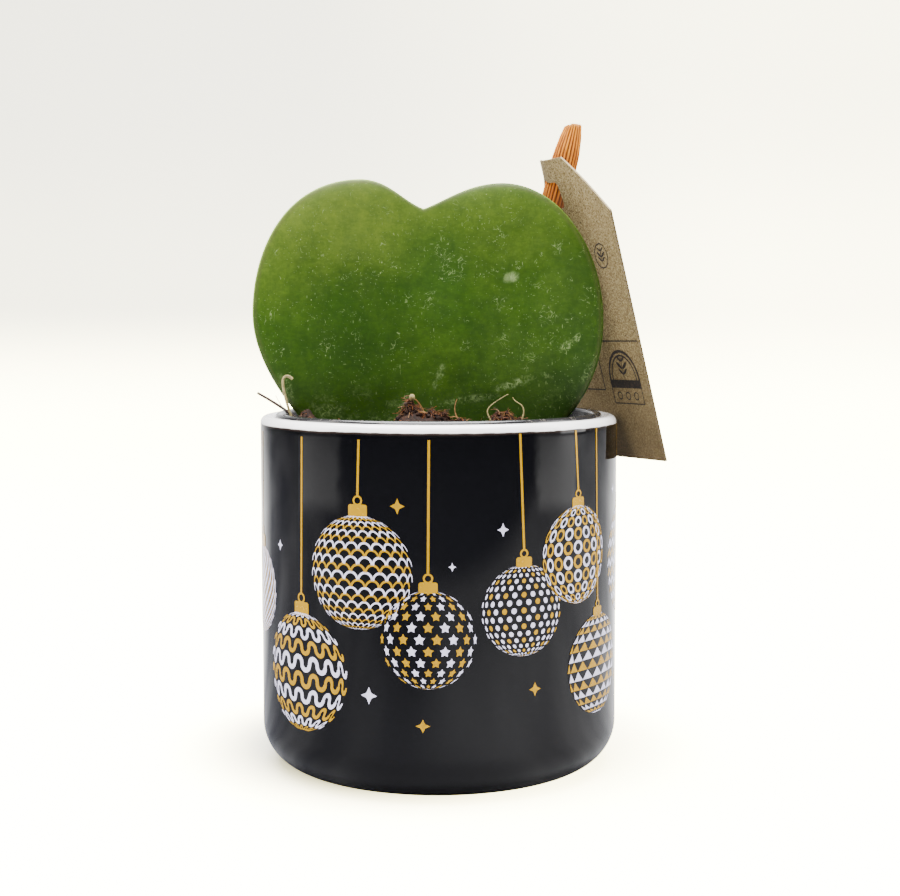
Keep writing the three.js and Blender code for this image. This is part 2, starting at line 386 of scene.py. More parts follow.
def drawSpeckle(place, scale, size, cover, low, high):
    # small round dots of uneven size, only where the cover is high
    away, colour = addNode("TexVoronoi", {"Vector": place, "Scale": scale}, ("Distance", "Color"))
    pick, = axes(colour, "X")
    size = size * (pick + 0.35)
    return [ramp(away, size, size * 0.55) * mathNode("GREATER_THAN", ramp(cover, low, high) * 0.9, pick)]


def drawHairlines(place, scale, width, cover, low, high):
    # thin wandering lines, along the level lines of a soft noise, where the cover is high
    away = abs(noiseNode(place, scale, 2, 0.5, 0.8) - 0.5)
    return [ramp(away, width, width * 0.3) * ramp(cover, low, high)]


speckleGroup = makeGroup("speckle", ("Place", "Scale", "Size", "Cover", "From", "Full"), ("Mask",),
                         drawSpeckle)
hairlineGroup = makeGroup("hairlines", ("Place", "Scale", "Width", "Cover", "From", "Full"), ("Mask",),
                          drawHairlines)


def speckle(*values):
    return useGroup(speckleGroup, *values)


def hairlines(*values):
    return useGroup(hairlineGroup, *values)


def newMaterial(name, **plain):
    # a material with one shader, and the shader's inputs
    material = bpy.data.materials.new(name)
    material.use_nodes = True
    tree = drawn["tree"] = material.node_tree
    tree.nodes.clear()
    output = tree.nodes.new("ShaderNodeOutputMaterial")
    shader = tree.nodes.new("ShaderNodeBsdfPrincipled")
    tree.links.new(shader.outputs[0], output.inputs["Surface"])
    connect(shader.inputs, **plain)
    return material, shader.inputs


def dress(piece, material):
    piece.data.materials.clear()
    piece.data.materials.append(material)


# Stage and light

stage = {
    "paper": (0.88, 0.875, 0.865), "paintedReflectionDark": (0.049, 0.051, 0.066), "shadow": (0.20, 0.19, 0.185),
    "floorGlow": 16.0, "lowGlow": 3.2, "backGlow": 2.0, "glowColour": (1, 0.925, 0.51),
    "depth": 2.4, "width": 5.28,
    "backDistance": 0.85, "backHeight": 1.5, "sweepRadius": 0.3, "sweepSteps": 12,
    "roomShade": (0.30, 0.30, 0.31), "roomSeen": (3.6, 3.55, 3.3),
    # name, place, target, size, power and colour
    "lights": [
        ("topSoftbox", (-0.05, 0.0, 0.8), (0, 0.0, 0), (0.8, 0.8), 48, (1, 1, 1)),
        ("frontSoftbox", (-0.2, -0.8, 0.85), (0, 0, 0.06), (0.8, 0.5), 11, (1, 1, 1)),
        ("leftWindow", (-0.85, 0.05, 0.45), (0, 0, 0.08), (0.4, 0.7), 6, (1, 0.985, 0.96)),
        ("rightPanel", (0.85, 0.05, 0.35), (0, 0, 0.06), (0.4, 0.7), 6, (1, 1, 1)),
    ],
}


def makeStage():
    depth, radius, steps = stage["depth"], stage["sweepRadius"], stage["sweepSteps"]
    sweep = startWith("studioSweep", bpy.ops.mesh.primitive_plane_add, (stage["width"] / depth, 1, 1),
                      size=depth)
    editWhere(sweep, "VERT", lambda vertex: vertex.co.y > 1)
    bpy.ops.transform.translate(value=(0, stage["backDistance"] - depth / 2, 0))
    bpy.ops.mesh.select_mode(type="EDGE")
    turns = [math.pi / 2 * i / steps for i in range(steps + 1)]
    for low, high in zip(turns, turns[1:]):
        extrudeEdges(0, radius * (math.sin(high) - math.sin(low)), radius * (math.cos(low) - math.cos(high)))
    extrudeEdges(0, 0, stage["backHeight"])
    smooth(sweep, 60)
    dress(sweep, paperSweep())


def paperSweep():
    material, inputs = newMaterial("paperSweep", Roughness=0.8, Emission_Color=stage["glowColour"])
    place = objectPlace()
    x, y, z = axes(place)
    seen, mirrored = addNode("LightPath", output=("Is Camera Ray", "Is Glossy Ray"))
    # painted reflection: for mirrored rays only, the table is darker towards the room and to both sides, so
    # it only shows in the glaze
    away = distance(x, y)
    facing = y / away
    aside = ramp(facing, 1.0, 0.6) * mixValues(ramp(x, -0.03, 0.03), 0.92, 0.70)
    streaks = noiseNode(flatPlace(facing, away), 3.0, 2)
    aside = mathNode("ADD", aside, streaks * -0.5 + 0.25, clamp=True)
    # painted reflections: two far pale patches, seen only by mirrored rays, which the glaze shows below the
    # rim at the right and, fainter, at the left
    uneven = facing + noiseNode(place, 9.0) * 0.16
    patch = ramp(uneven, -0.42, -0.32) * ramp(uneven, 0.22, 0.12) * ramp(away, 0.44, 0.53)
    patch = patch * mixValues(ramp(x, -0.1, 0.1), 0.5, 0.95)
    # painted reflection: mirrored rays see the dark colour in place of the paper, except in the pale patches
    paintedReflectionMask = mirrored * (highest(ramp(y, -0.06, -0.34), aside) * (1.0 - patch))
    shade = mixColours(paintedReflectionMask, stage["paper"], stage["paintedReflectionDark"])
    glow = mixValues(ramp(z, 0.10, 0.30), stage["lowGlow"], stage["backGlow"])
    glow = glow * mixValues(ramp(x, -0.15, 0.3), 0.9, 2.6) * mixValues(noiseNode(place, 3.2, 2), 0.85, 1.15)
    glow = mixValues(ramp(z, 0.0, 0.10), stage["floorGlow"], glow)
    # a faint shadow on the paper beside the pot, deeper on the left
    shadow = ramp(distance(x, y - 0.012), 0.060, 0.033) * mixValues(ramp(x, -0.02, 0.025), 0.95, 0.5)
    connect(inputs, Base_Color=mixColours(shadow * seen * 0.65, shade, stage["shadow"]),
            Emission_Strength=glow * (1.0 - shadow) * seen)
    return material


def makeLights():
    world = bpy.data.worlds.new("studioRoom")
    bpy.context.scene.world = world
    world.use_nodes = True
    drawn["tree"] = world.node_tree
    seen = addNode("LightPath", output="Is Camera Ray")
    connect(world.node_tree.nodes["Background"].inputs,
            Color=mixColours(seen, stage["roomShade"], stage["roomSeen"]))
    for name, place, target, size, power, colour in stage["lights"]:
        deselectAll()
        bpy.ops.object.light_add(type="AREA", location=place)
        light = bpy.context.active_object
        light.name = name
        light.data.shape = "RECTANGLE"
        light.data.size, light.data.size_y = size
        light.data.energy = power
        light.data.color = colour
        light.rotation_euler = (Vector(target) - Vector(place)).to_track_quat("-Z", "Y").to_euler()


makeStage()
makeLights()
print("stage and lights set")


# Cover pot: black glaze outside, white round the rim, inside and underneath

coverPot = {
    "radius": 34.91 * mm, "height": 68.7 * mm, "wall": 2.7 * mm, "floor": 4 * mm,
    "cornerRadius": 8.7 * mm, "middle": 2 * mm, "sides": 256,
    "whiteFrom": 67.3, "fadeFrom": 66.7, "footRadius": 25.6,
    "glaze": (0.0009, 0.00095, 0.0014), "glazeSpots": (0.0014, 0.0014, 0.0018),
    "thinGlaze": (0.040, 0.027, 0.021),
    "whiteGlaze": (0.90, 0.885, 0.865), "whiteClouds": (0.80, 0.77, 0.735),
    "bareClay": (0.62, 0.585, 0.54), "bareGrain": (0.75, 0.72, 0.68),
}


def makeCoverPot():
    radius, height, wall = coverPot["radius"], coverPot["height"], coverPot["wall"]
    corner, floor, middle = coverPot["cornerRadius"], coverPot["floor"], coverPot["middle"]
    rim, inside, innerCorner = wall / 2, radius - wall, corner - wall
    profile = [
        (middle, 0), (radius - corner, 0), *arc(radius - corner, corner, corner, -86, 0, 16),
        (radius, 20 * mm), (radius, 45 * mm), (radius, height - rim - 1.2 * mm),
        *arc(radius - rim, height - rim, rim, 0, 180, 22), (inside, height - 9 * mm), (inside, 30 * mm),
        *arc(inside - innerCorner, floor + innerCorner, innerCorner, 0, -86, 8), (middle, floor),
    ]
    pot = turnProfile("coverPot", profile, coverPot["sides"])
    smooth(pot, 50)
    within = []
    for vertex in pot.data.vertices:
        out, z = math.hypot(vertex.co.x, vertex.co.y), vertex.co.z
        if out > radius - corner and z < corner:
            within.append(float(math.hypot(out - radius + corner, z - corner) < corner - wall / 2))
        else:
            within.append(float(out < radius - wall / 2 and z > floor / 2))
    writeValues(pot, "within", within)
    dress(pot, potGlaze())
    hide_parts("ceramic_pot")
    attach(pot, "root")


def drawBlackGlaze(place):
    # black with faint spots, and its gloss dulled by smudges
    smudged = noiseNode(addNode("Mapping", {"Vector": place, "Scale": (1, 1, 0.35)}), 75, 5, 0.62, 0.6)
    return [mixColours(noiseNode(place, 45), coverPot["glaze"], coverPot["glazeSpots"]),
            mixValues(ramp(smudged, 0.48, 0.72), 0.035, 0.085)]


blackGlaze = makeGroup("blackGlaze", ("Place",), ("Shade", "Gloss"), drawBlackGlaze)


def potGlaze():
    material, inputs = newMaterial("potGlaze", IOR=1.5, Specular_IOR_Level=0.21, Coat_Roughness=0.08)
    place = objectPlace()
    x, y, z = axes(place)
    border = z + (noiseNode(place, 260) * (0.35 * mm) - 0.17 * mm)
    upper = rampMm(border, coverPot["whiteFrom"] - 0.12, coverPot["whiteFrom"] + 0.1)
    foot = rampMm(distance(x, y), coverPot["footRadius"], coverPot["footRadius"] - 0.4) * rampMm(z, 1, 0.4)
    white = highest(upper, attribute("within"), foot)
    pale = mixColours(ramp(noiseNode(place, 90, 4), 0.35, 0.75), coverPot["whiteGlaze"],
                      coverPot["whiteClouds"])
    bare = mixColours(noiseNode(place, 900, 5), coverPot["bareClay"], coverPot["bareGrain"])
    dark, gloss = useGroup(blackGlaze, place, output=("Shade", "Gloss"))
    # the black fades to brown where it thins out under the rim
    thin = rampMm(border, coverPot["fadeFrom"], coverPot["fadeFrom"] + 0.55) * 0.5
    dark = mixColours(thin, dark, coverPot["thinGlaze"])
    connect(inputs, Base_Color=mixColours(white, dark, mixColours(foot, pale, bare)),
            Coat_Weight=white * (1.0 - foot),
            Roughness=mixValues(foot, mixValues(white, gloss, 0.17), 0.8),
            Normal=bump(noiseNode(objectPlace((1, 1, 0.6)), 140, 2), 0.03 * mm, 0.5))
    return material


makeCoverPot()
print("cover pot made")


# The print on the cover pot, drawn flat in XZ and bent round the wall at the end. u is the distance along
# the wall from the front, and each bauble's filling lies on a ball that is then flattened.

potPrint = {
    "repeat": 109.96 * mm, "slices": 1.1 * mm,
    "proud": 0.02 * mm, "film": 0.012 * mm,
    "limb": 80,
    "gold": (0.375, 0.205, 0.0003), "silver": (0.53, 0.51, 0.65),
    "metal": {"gold": 0.3, "silver": 0.12},
    "stringWidth": 0.46 * mm, "loopWidth": 0.36 * mm, "capCorner": 0.42 * mm, "capSunk": 0.45 * mm,
    # kind, u, z and radius of each bauble, top of its string, and its layer; then the width and height of
    # its cap, the radius of its loop and how far its string leans
    "baubles": [
        ("hatch", -45.7, 35.8, 8.4, 66.0, 1, 3.7, 2.4, 0.9, 0.4),
        ("waves", -28.1, 22.5, 10.93, 66.0, 0, 4.0, 2.55, 1.0, 0.5),
        ("scales", -14.75, 42.1, 10.3, 66.0, 0, 3.75, 2.45, 0.95, 0.3),
        ("stars", -1.7, 30.4, 8.85, 66.1, 1, 3.4, 2.0, 0.93, 0.2),
        ("dots", 16.05, 35.1, 8.3, 67.0, 0, 3.2, 1.85, 0.85, -0.85),
        ("rings", 28.95, 44.15, 9.0, 67.1, 1, 3.35, 2.05, 0.85, -0.85),
        ("triangles", 35.75, 22.8, 9.4, 67.1, 2, 3.25, 1.8, 0.78, -0.85),
        ("zigzags", 51.6, 41.0, 10.6, 67.0, 0, 3.6, 2.3, 0.9, -0.5),
    ],
    # for each kind, in degrees of the ball: step between rows, sideways offsets of the rows in columns,
    # latitude of the first row where it isn't centred, and step between columns; then which copies are gold
    "fillings": {
        "waves": (16.4, (0,), None, 22.5, lambda row, column: row % 2),
        "scales": (7.8, (0, 0.5), None, 16.36, lambda row, column: row % 2 == 0),
        "stars": (14.2, (0, 0.5), 71, 20.4, lambda row, column: column % 2 == 0),
        "dots": (10.1, (0, 0.5), None, 13.85, lambda row, column: row % 2 == column % 2 == (column > 0)),
        "rings": (17.2, (0,), 77.4, 18, lambda row, column: (row + column) % 2),
        "triangles": (11.25, (0, 0.5), None, 22.5, lambda row, column: row % 2),
        "zigzags": (10, (0,), None, 22.5, lambda row, column: row % 2),
    },
    # the hatch's step in degrees, its lines' length, and their colours, widths and offsets in columns
    "hatchStep": 16, "hatchLength": 23.0,
    "hatchLines": [("silver", 5.0, 0.0), ("gold", 2.0, 0.5)],
    # u, z, width, height and colour of each sparkle
    "sparkles": [
        (-7.2, 54.3, 2.7, 2.9, "gold"), (-2.7, 14.8, 2.7, 2.5, "gold"), (18.4, 20.5, 2.5, 2.6, "gold"),
        (-35.2, 45.3, 2.0, 2.1, "silver"), (11.9, 49.9, 2.2, 2.5, "silver"), (2.6, 43.5, 1.4, 1.6, "silver"),
        (-12.7, 19.9, 3.1, 3.2, "silver"), (44.5, 54.9, 1.8, 2.1, "silver"), (47.2, 18.2, 2.6, 2.7, "gold"),
        (58.3, 56.6, 2.4, 2.6, "gold"), (-53.6, 14.2, 2.8, 2.9, "silver"),
    ],
    # how far out the corners of a star and of a sparkle stand, in turn
    "starCorners": (1, 0.56), "sparkleCorners": (1, 0.64, 0.49, 0.45, 0.49, 0.64),
    "films": {"gold": ("printGold", "print_gold"), "silver": ("printSilver", "print_silver"),
              "black": ("printGround", "glaze")},
}


def flatShape(name, sides, radius, corners=(1,)):
    # a filled flat shape in XZ that faces the front, from a circle whose corners may be pulled in
    shape = startWith(name, bpy.ops.mesh.primitive_circle_add, vertices=sides, radius=radius,
                      fill_type="NGON", rotation=upright)
    for vertex in shape.data.vertices:
        corner = round(math.atan2(vertex.co.x, vertex.co.z) * sides / (2 * math.pi))
        vertex.co = vertex.co * corners[corner % len(corners)]
    return shape


def flatPanel(name, width, height, x=0.0, z=0.0, slant=0, cells=1):
    # an upright panel that faces the front, slanted by an angle in degrees
    return startWith(name, bpy.ops.mesh.primitive_grid_add, (width, height, 1), x_subdivisions=cells,
                     y_subdivisions=1, size=1, location=(x, 0, z),
                     rotation=(math.pi / 2, math.radians(slant), 0))


def spunStrip(name, inner, outer, start, turn, steps, centre=(0, 0, 0)):
    # an edge from the inner to the outer radius, spun about its centre through an angle in degrees
    strip = startWith(name, bpy.ops.mesh.primitive_plane_add, size=1)
    startEdit(strip)
    bpy.ops.mesh.merge(type="CENTER")
    begin = Vector((math.sin(math.radians(start)), 0, math.cos(math.radians(start))))
    bpy.ops.transform.translate(value=Vector(centre) + begin * inner)
    bpy.ops.mesh.extrude_region_move(TRANSFORM_OT_translate={"value": begin * (outer - inner)})
    selectAll()
    bpy.ops.mesh.spin(steps=steps, angle=-math.radians(turn), center=centre, axis=(0, 1, 0))
    selectAll()
    bpy.ops.mesh.remove_doubles(threshold=veryClose)
    objectMode()
    return strip


def onBall(motif, radius, columnTurn, rowLift):
    # a copy of the motif, standing on the ball at a longitude and a latitude in degrees
    twin = copyOf(motif)
    squeeze = max(0.12, math.cos(math.radians(rowLift)))
    turn = Matrix.Rotation(math.radians(columnTurn), 4, "Z")
    lift = Matrix.Rotation(-math.radians(rowLift), 4, "X")
    out = Matrix.Translation((0, -radius, 0))
    twin.matrix_world = turn @ lift @ out @ Matrix.Diagonal((squeeze, 1, 1, 1))
    return twin


def fillRows(motif, radius, rows, columnStep, isGold):
    # rows of copies over the front of the ball: each row has a latitude and a sideways offset in columns
    limb = potPrint["limb"]
    reach = int(limb / columnStep) + 1
    placed = {"gold": [], "silver": []}
    for row, (rowLift, offset) in enumerate(rows):
        for column in range(-reach, reach + 1):
            columnTurn = (column + offset) * columnStep
            if abs(columnTurn) <= limb:
                colour = "gold" if isGold(row, column) else "silver"
                placed[colour].append(onBall(motif, radius, columnTurn, rowLift))
    discard(motif)
    return placed


def rowsBetween(step, offsets, first=None):
    # latitudes from the top down, evenly spaced about the equator unless the first is given
    count = int(172 / step)
    top = (count - 1) * step / 2 if first is None else first
    return [(top - row * step, offsets[row % len(offsets)]) for row in range(count)]


def waveMotif(degree, step, spacing):
    # one wave of a band: half a ring over, half a ring under, with straight sides between
    quarter, half, thick = step * degree / 4, spacing * degree * 0.03, spacing * degree * 0.29 / 2
    rings = [spunStrip("waveRing", quarter - thick, quarter + thick, -90 * side, 180, 8,
                       (-side * quarter, 0, side * half)) for side in (1, -1)]
    sides = [flatPanel("waveSide", 2 * thick, 2 * half, across) for across in (-2 * quarter, 0)]
    return join("waveMotif", rings + sides)


def fillingMotif(kind, degree):
    # one motif, sized in degrees of the ball
    if kind == "waves":
        return waveMotif(degree, 22.5, 16.4)
    if kind == "scales":
        return spunStrip("scaleArch", 6.5 * degree, 8.9 * degree, -90, 180, 10, (0, 0, -3.5 * degree))
    if kind == "stars":
        return flatShape("printedStar", 10, 6.9 * degree, potPrint["starCorners"])
    if kind == "dots":
        return flatShape("printedDot", 14, 3.75 * degree)
    if kind == "rings":
        return spunStrip("printedRing", 4.8 * degree, 8.3 * degree, 0, 360, 20)
    if kind == "triangles":
        wide, tall = 11.2 * degree / math.sin(math.radians(120)), 10.6 * degree / 1.5
        return settle(flatShape("printedTriangle", 3, 1.0), scale=(wide, 1, tall))
    legs = [flatPanel("zigzagLeg", 14.2 * degree, 3.4 * degree, lean * 5.6 * degree, slant=lean * 32)
            for lean in (-1, 1)]
    return join("zigzagMotif", legs)


def baubleFilling(kind, radius):
    degree = radius * math.radians(1)
    if kind in potPrint["fillings"]:
        step, offsets, first, columnStep, isGold = potPrint["fillings"][kind]
        rows = rowsBetween(step, offsets, first)
        return fillRows(fillingMotif(kind, degree), radius, rows, columnStep, isGold)
    # each slanted line goes on in the next row and column, a thin one between every two wide ones
    placed, step = {"gold": [], "silver": []}, potPrint["hatchStep"]
    for colour, thick, offset in potPrint["hatchLines"]:
        line = flatPanel("hatchLine", potPrint["hatchLength"] * degree, thick * degree, slant=-45, cells=4)
        rows = rowsBetween(step, (offset,))
        placed[colour] = fillRows(line, radius, rows, step, lambda row, column: colour == "gold")[colour]
    return placed


def makeBauble(kind, u, z, radius, stringTop, layer, capWidth, capHeight, loopRadius, lean):
    lift = potPrint["proud"]
    proud = lift * (1 + 1.2 * layer)
    parts = {}
    for colour, copies in baubleFilling(kind, radius).items():
        filling = settle(join("filling", copies))
        parts[colour] = [settle(filling, scale=(1, 0.0001, 1), location=(u, -proud - 0.5 * lift, z))]
    parts["black"] = [settle(flatShape("baubleGround", 64, radius * 1.006), location=(u, -proud, z))]
    # cap with rounded corners, its loop and the string
    capFoot = z + radius - potPrint["capSunk"]
    cap = flatPanel("baubleCap", capWidth, capHeight, u, capFoot + capHeight / 2)
    startEdit(cap)
    bpy.ops.mesh.bevel(offset=potPrint["capCorner"], segments=3, affect="VERTICES")
    loopHeight = capFoot + capHeight + 0.72 * loopRadius
    loop = spunStrip("baubleLoop", loopRadius - potPrint["loopWidth"], loopRadius, 0, 360, 24,
                     (u, 0, loopHeight))
    stringFoot = loopHeight + loopRadius - 0.2 * mm
    string = flatPanel("baubleString", potPrint["stringWidth"], stringTop - stringFoot, u,
                       (stringTop + stringFoot) / 2)
    for vertex in string.data.vertices:
        if vertex.co.z > loopHeight + loopRadius:
            vertex.co.x += lean
    hanger = join("baubleHanger", [cap, loop, string])
    parts["gold"].append(settle(hanger, location=(0, -proud - 0.9 * lift, 0)))
    return parts


def sideEdges(piece):
    across = [vertex.co.x for vertex in piece.data.vertices]
    return min(across), max(across)


def slicedUpright(piece, spacing):
    # cuts across the width so that the flat film can follow the round wall
    left, right = sideEdges(piece)
    startEdit(piece)
    for i in range(1, int((right - left) / spacing)):
        selectAll()
        bpy.ops.mesh.bisect(plane_co=(left + i * spacing, 0, 0), plane_no=(1, 0, 0))
    objectMode()


def makePrint():
    parts = {"gold": [], "silver": [], "black": []}
    for kind, u, z, radius, stringTop, layer, *hanger in potPrint["baubles"]:
        bauble = makeBauble(kind, u * mm, z * mm, radius * mm, stringTop * mm, layer,
                            *(size * mm for size in hanger))
        for colour, made in bauble.items():
            parts[colour] += made
    for u, z, width, height, colour in potPrint["sparkles"]:
        sparkle = flatShape("sparkle", 24, 1.0, potPrint["sparkleCorners"])
        parts[colour].append(settle(sparkle, scale=(width * mm / 2, 1, height * mm / 2),
                                    location=(u * mm, -potPrint["proud"], z * mm)))

    for colour, (name, slotName) in potPrint["films"].items():
        film = join(name, parts[colour])
        slicedUpright(film, potPrint["slices"])
        film = join(name, [film, settle(copyOf(film), location=(potPrint["repeat"], 0, 0))])
        left, right = sideEdges(film)
        shapeWith(film, "SIMPLE_DEFORM", deform_method="BEND", deform_axis="Z",
                  angle=(right - left) / coverPot["radius"])
        settle(film, location=(0, -coverPot["radius"], 0))
        shapeWith(film, "SOLIDIFY", thickness=potPrint["film"], offset=-1)
        dress(film, printInk(name + "Ink", colour))
        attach(film, "root")
        print(name, "has", len(film.data.polygons), "faces")


def printInk(name, colour):
    material, inputs = newMaterial(name, IOR=1.5, Specular_IOR_Level=0.21)
    place = objectPlace()
    if colour == "black":
        shade, gloss = useGroup(blackGlaze, place, output=("Shade", "Gloss"))
        connect(inputs, Base_Color=shade, Roughness=gloss)
        return material
    shade = potPrint[colour]
    worn = ramp(noiseNode(place, 1400), 0.42, 0.8)
    connect(inputs, Base_Color=mixColours(worn, shade, [0.72 * part for part in shade]),
            Roughness=mixValues(worn, 0.2, 0.34), Metallic=mixValues(worn, potPrint["metal"][colour], 0.2))
    return material


makePrint()
print("print made")


# Nursery pot: glossy black plastic, its rolled lip showing inside the cover pot

nurseryPot = {
    "base": 4.3 * mm, "wall": 0.8 * mm, "chamfer": 1 * mm, "middle": 1 * mm,
    "lipRadius": 32 * mm, "lipWidth": 1.6 * mm, "lipTop": 69.2 * mm, "lipDepth": 4.2 * mm,
    "topRadius": 30.2 * mm, "halfwayRadius": 27.5 * mm, "halfway": 35 * mm, "baseRadius": 24.5 * mm,
    "sides": 192,
    "plastic": (0.012, 0.012, 0.013), "dust": (0.09, 0.065, 0.045),
}


def makeNurseryPot():
    base, wall, chamfer = nurseryPot["base"], nurseryPot["wall"], nurseryPot["chamfer"]
    lipRadius, lipWidth, lipTop = nurseryPot["lipRadius"], nurseryPot["lipWidth"], nurseryPot["lipTop"]
    baseRadius, topRadius, middle = nurseryPot["baseRadius"], nurseryPot["topRadius"], nurseryPot["middle"]
    halfway, halfwayRadius = nurseryPot["halfway"], nurseryPot["halfwayRadius"]
    lipFoot = lipTop - nurseryPot["lipDepth"]
    profile = [
        (middle, base), (baseRadius - chamfer, base), (baseRadius, base + chamfer),
        (halfwayRadius, halfway), (topRadius, lipFoot), (lipRadius, lipFoot + 0.4 * mm),
        *arc(lipRadius - lipWidth / 2, lipTop - lipWidth / 2, lipWidth / 2, 0, 180, 12),
        (lipRadius - lipWidth, lipFoot + 1.6 * mm), (topRadius - wall, lipFoot - 0.4 * mm),
        (halfwayRadius - wall, halfway), (baseRadius - wall, base + wall + chamfer),
        (baseRadius - wall - chamfer, base + wall), (middle, base + wall),
    ]
    pot = turnProfile("nurseryPot", profile, nurseryPot["sides"])
    smooth(pot, 35)
    dress(pot, blackPlastic())
    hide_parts("grow_pot")
    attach(pot, "root")


def blackPlastic():
    material, inputs = newMaterial("blackPlastic")
    dust = ramp(noiseNode(objectPlace(), 420, 6, 0.7), 0.52, 0.72)
    connect(inputs, Base_Color=mixColours(dust * 0.5, nurseryPot["plastic"], nurseryPot["dust"]),
            Roughness=mixValues(dust, 0.18, 0.6),
            Normal=bump(noiseNode(objectPlace((1, 1, 4)), 600), 0.05 * mm, 0.4))
    return material


makeNurseryPot()
print("nursery pot made")


# Leaf: a ball flattened and drawn out to the heart's outline, in millimetres

leaf = {
    "x": -2.2, "y": -3.0, "base": 49.0, "centreHeight": 86.0,
    "width": 68.0, "lobeHeight": 114.1, "thickness": 3.6,
    "valleyDepth": 1.1, "valleyWidth": 7.5, "curl": 0.6,
    "around": 256, "rings": 96,
    "stalkRadii": (1.8, 2.1), "stalkLength": 15, "stalkMiddle": 45.5,
    "flesh": ((0.0115, 0.0335, 0.0012), (0.0195, 0.0470, 0.0026)),
    "lobesPaintedLight": (0.044, 0.070, 0.0085), "valley": (0.007, 0.029, 0.002), "rightSidePaintedShade": (0.0068, 0.0225, 0.0010),
    "low": (0.0082, 0.0215, 0.0030), "middleLeft": (0.0062, 0.0235, 0.0006), "bloom": (0.050, 0.080, 0.026),
    "mottleGain": (1.30, 1.22, 1.1), "grainGain": (1.26, 1.20, 1.24),
    "marks": (0.150, 0.205, 0.078), "pits": (0.012, 0.022, 0.004),
    "rind": (0.042, 0.042, 0.014), "edgePaintedLight": (0.22, 0.31, 0.060),
    # x, z, half length, half width, slant in degrees and strength of each pale scuff
    "scuffs": [
        (14.1, 95.4, 1.75, 1.2, 20, 0.9), (25.0, 82.2, 1.7, 0.9, 35, 0.8), (27.0, 83.7, 1.1, 0.7, 60, 0.7),
        (0.4, 77.0, 1.9, 0.8, 70, 0.6), (-0.6, 74.6, 1.1, 0.6, 80, 0.5), (29.2, 77.0, 2.6, 1.0, 62, 0.35),
        (-29.6, 74.0, 3.2, 1.3, 118, 0.45), (-21.1, 69.6, 3.4, 1.5, 5, 0.5), (6.0, 71.8, 6.5, 0.9, 8, 0.45),
        (14.6, 74.8, 4.6, 1.0, 18, 0.75), (21.0, 76.4, 1.6, 0.5, -20, 0.4), (-8.5, 71.0, 2.5, 0.8, 0, 0.35),
    ],
    # x, z and size of the places with curled scratches
    "scribbles": [
        (3.0, 97.2, 3.2), (9.6, 96.2, 1.6), (-1.4, 91.4, 1.8), (-5.3, 91.3, 2.0), (11.9, 90.4, 2.0),
        (21.2, 88.0, 2.2), (12.2, 104.2, 1.8), (12.0, 83.2, 2.0), (-16.0, 84.0, 1.4), (-21.6, 82.6, 1.5),
        (23.0, 101.0, 1.6), (5.0, 82.0, 1.6), (17.5, 79.0, 2.4), (28.5, 91.0, 1.5), (-12.0, 96.5, 1.3),
    ],
}


def bezierPoint(points, t):
    u = 1 - t
    return tuple(u ** 3 * p + 3 * u * u * t * q + 3 * u * t * t * r + t ** 3 * s
                 for p, q, r, s in zip(*points))


def heartOutline(count):
    # evenly spaced points round the heart, from the notch over the right lobe to the base and back
    side, lobe = leaf["width"] / 2, leaf["lobeHeight"]
    notch, base, rightTop = (-0.6, 108.6), (0, leaf["base"]), leaf["lobeHeight"] - 0.6
    curves = [
        (notch, (3.2, 109.9), (7.9, rightTop), (14.6, rightTop)),
        ((14.6, rightTop), (26.0, rightTop), (side + 0.4, 100.5), (side + 0.4, 87.0)),
        ((side + 0.4, 87.0), (side + 0.4, 65.2), (13.3, 56.4), base),
        (base, (-14.5, 55.5), (-side, 73.1), (-side, 88.3)),
        ((-side, 88.3), (-side, 100.6), (-27.6, lobe + 0.2), (-12.8, lobe + 0.2)),
        ((-12.8, lobe + 0.2), (-7.4, lobe + 0.2), (-4.8, 110.2), notch),
    ]
    fine = [bezierPoint(curve, i / 200) for curve in curves for i in range(200)] + [notch]
    length = [0.0]
    for a, b in zip(fine, fine[1:]):
        length.append(length[-1] + math.dist(a, b))
    points, k = [], 0
    for i in range(count):
        wanted = length[-1] * i / count
        while length[k + 1] < wanted:
            k += 1
        t = (wanted - length[k]) / (length[k + 1] - length[k])
        points.append(tuple(p + (q - p) * t for p, q in zip(fine[k], fine[k + 1])))
    return points


def leafPlace(edge, reach, front):
    # a point of the leaf's skin, by its outline point, its way out from the middle, and its side
    centre = leaf["centreHeight"]
    out = 1 - (1 - reach) ** 1.25
    x, z = edge[0] * out, centre + (edge[1] - centre) * out
    thick = leaf["thickness"] / 2 * math.sqrt(max(0, 1 - out ** 9))
    curl = leaf["curl"] * (x / (leaf["width"] / 2)) ** 2
    along = smoothstep(z, leaf["base"] + 8, 104)
    valley = leaf["valleyDepth"] * along * math.exp(-(x / leaf["valleyWidth"]) ** 2)
    y = curl + (valley * (1 - out ** 12) * 0.9 - thick if front else thick * 0.85)
    # the flesh is slightly uneven
    swell = 0.22 * noise.noise(Vector((x * 0.11, 3.1 if front else 9.7, z * 0.11)))
    swell += 0.07 * noise.noise(Vector((x * 0.33, 1.7, z * 0.33)))
    y += swell * (1 - out ** 6) * (-1 if front else 1)
    return Vector((leaf["x"] + x, leaf["y"] + y, z)) * mm, out


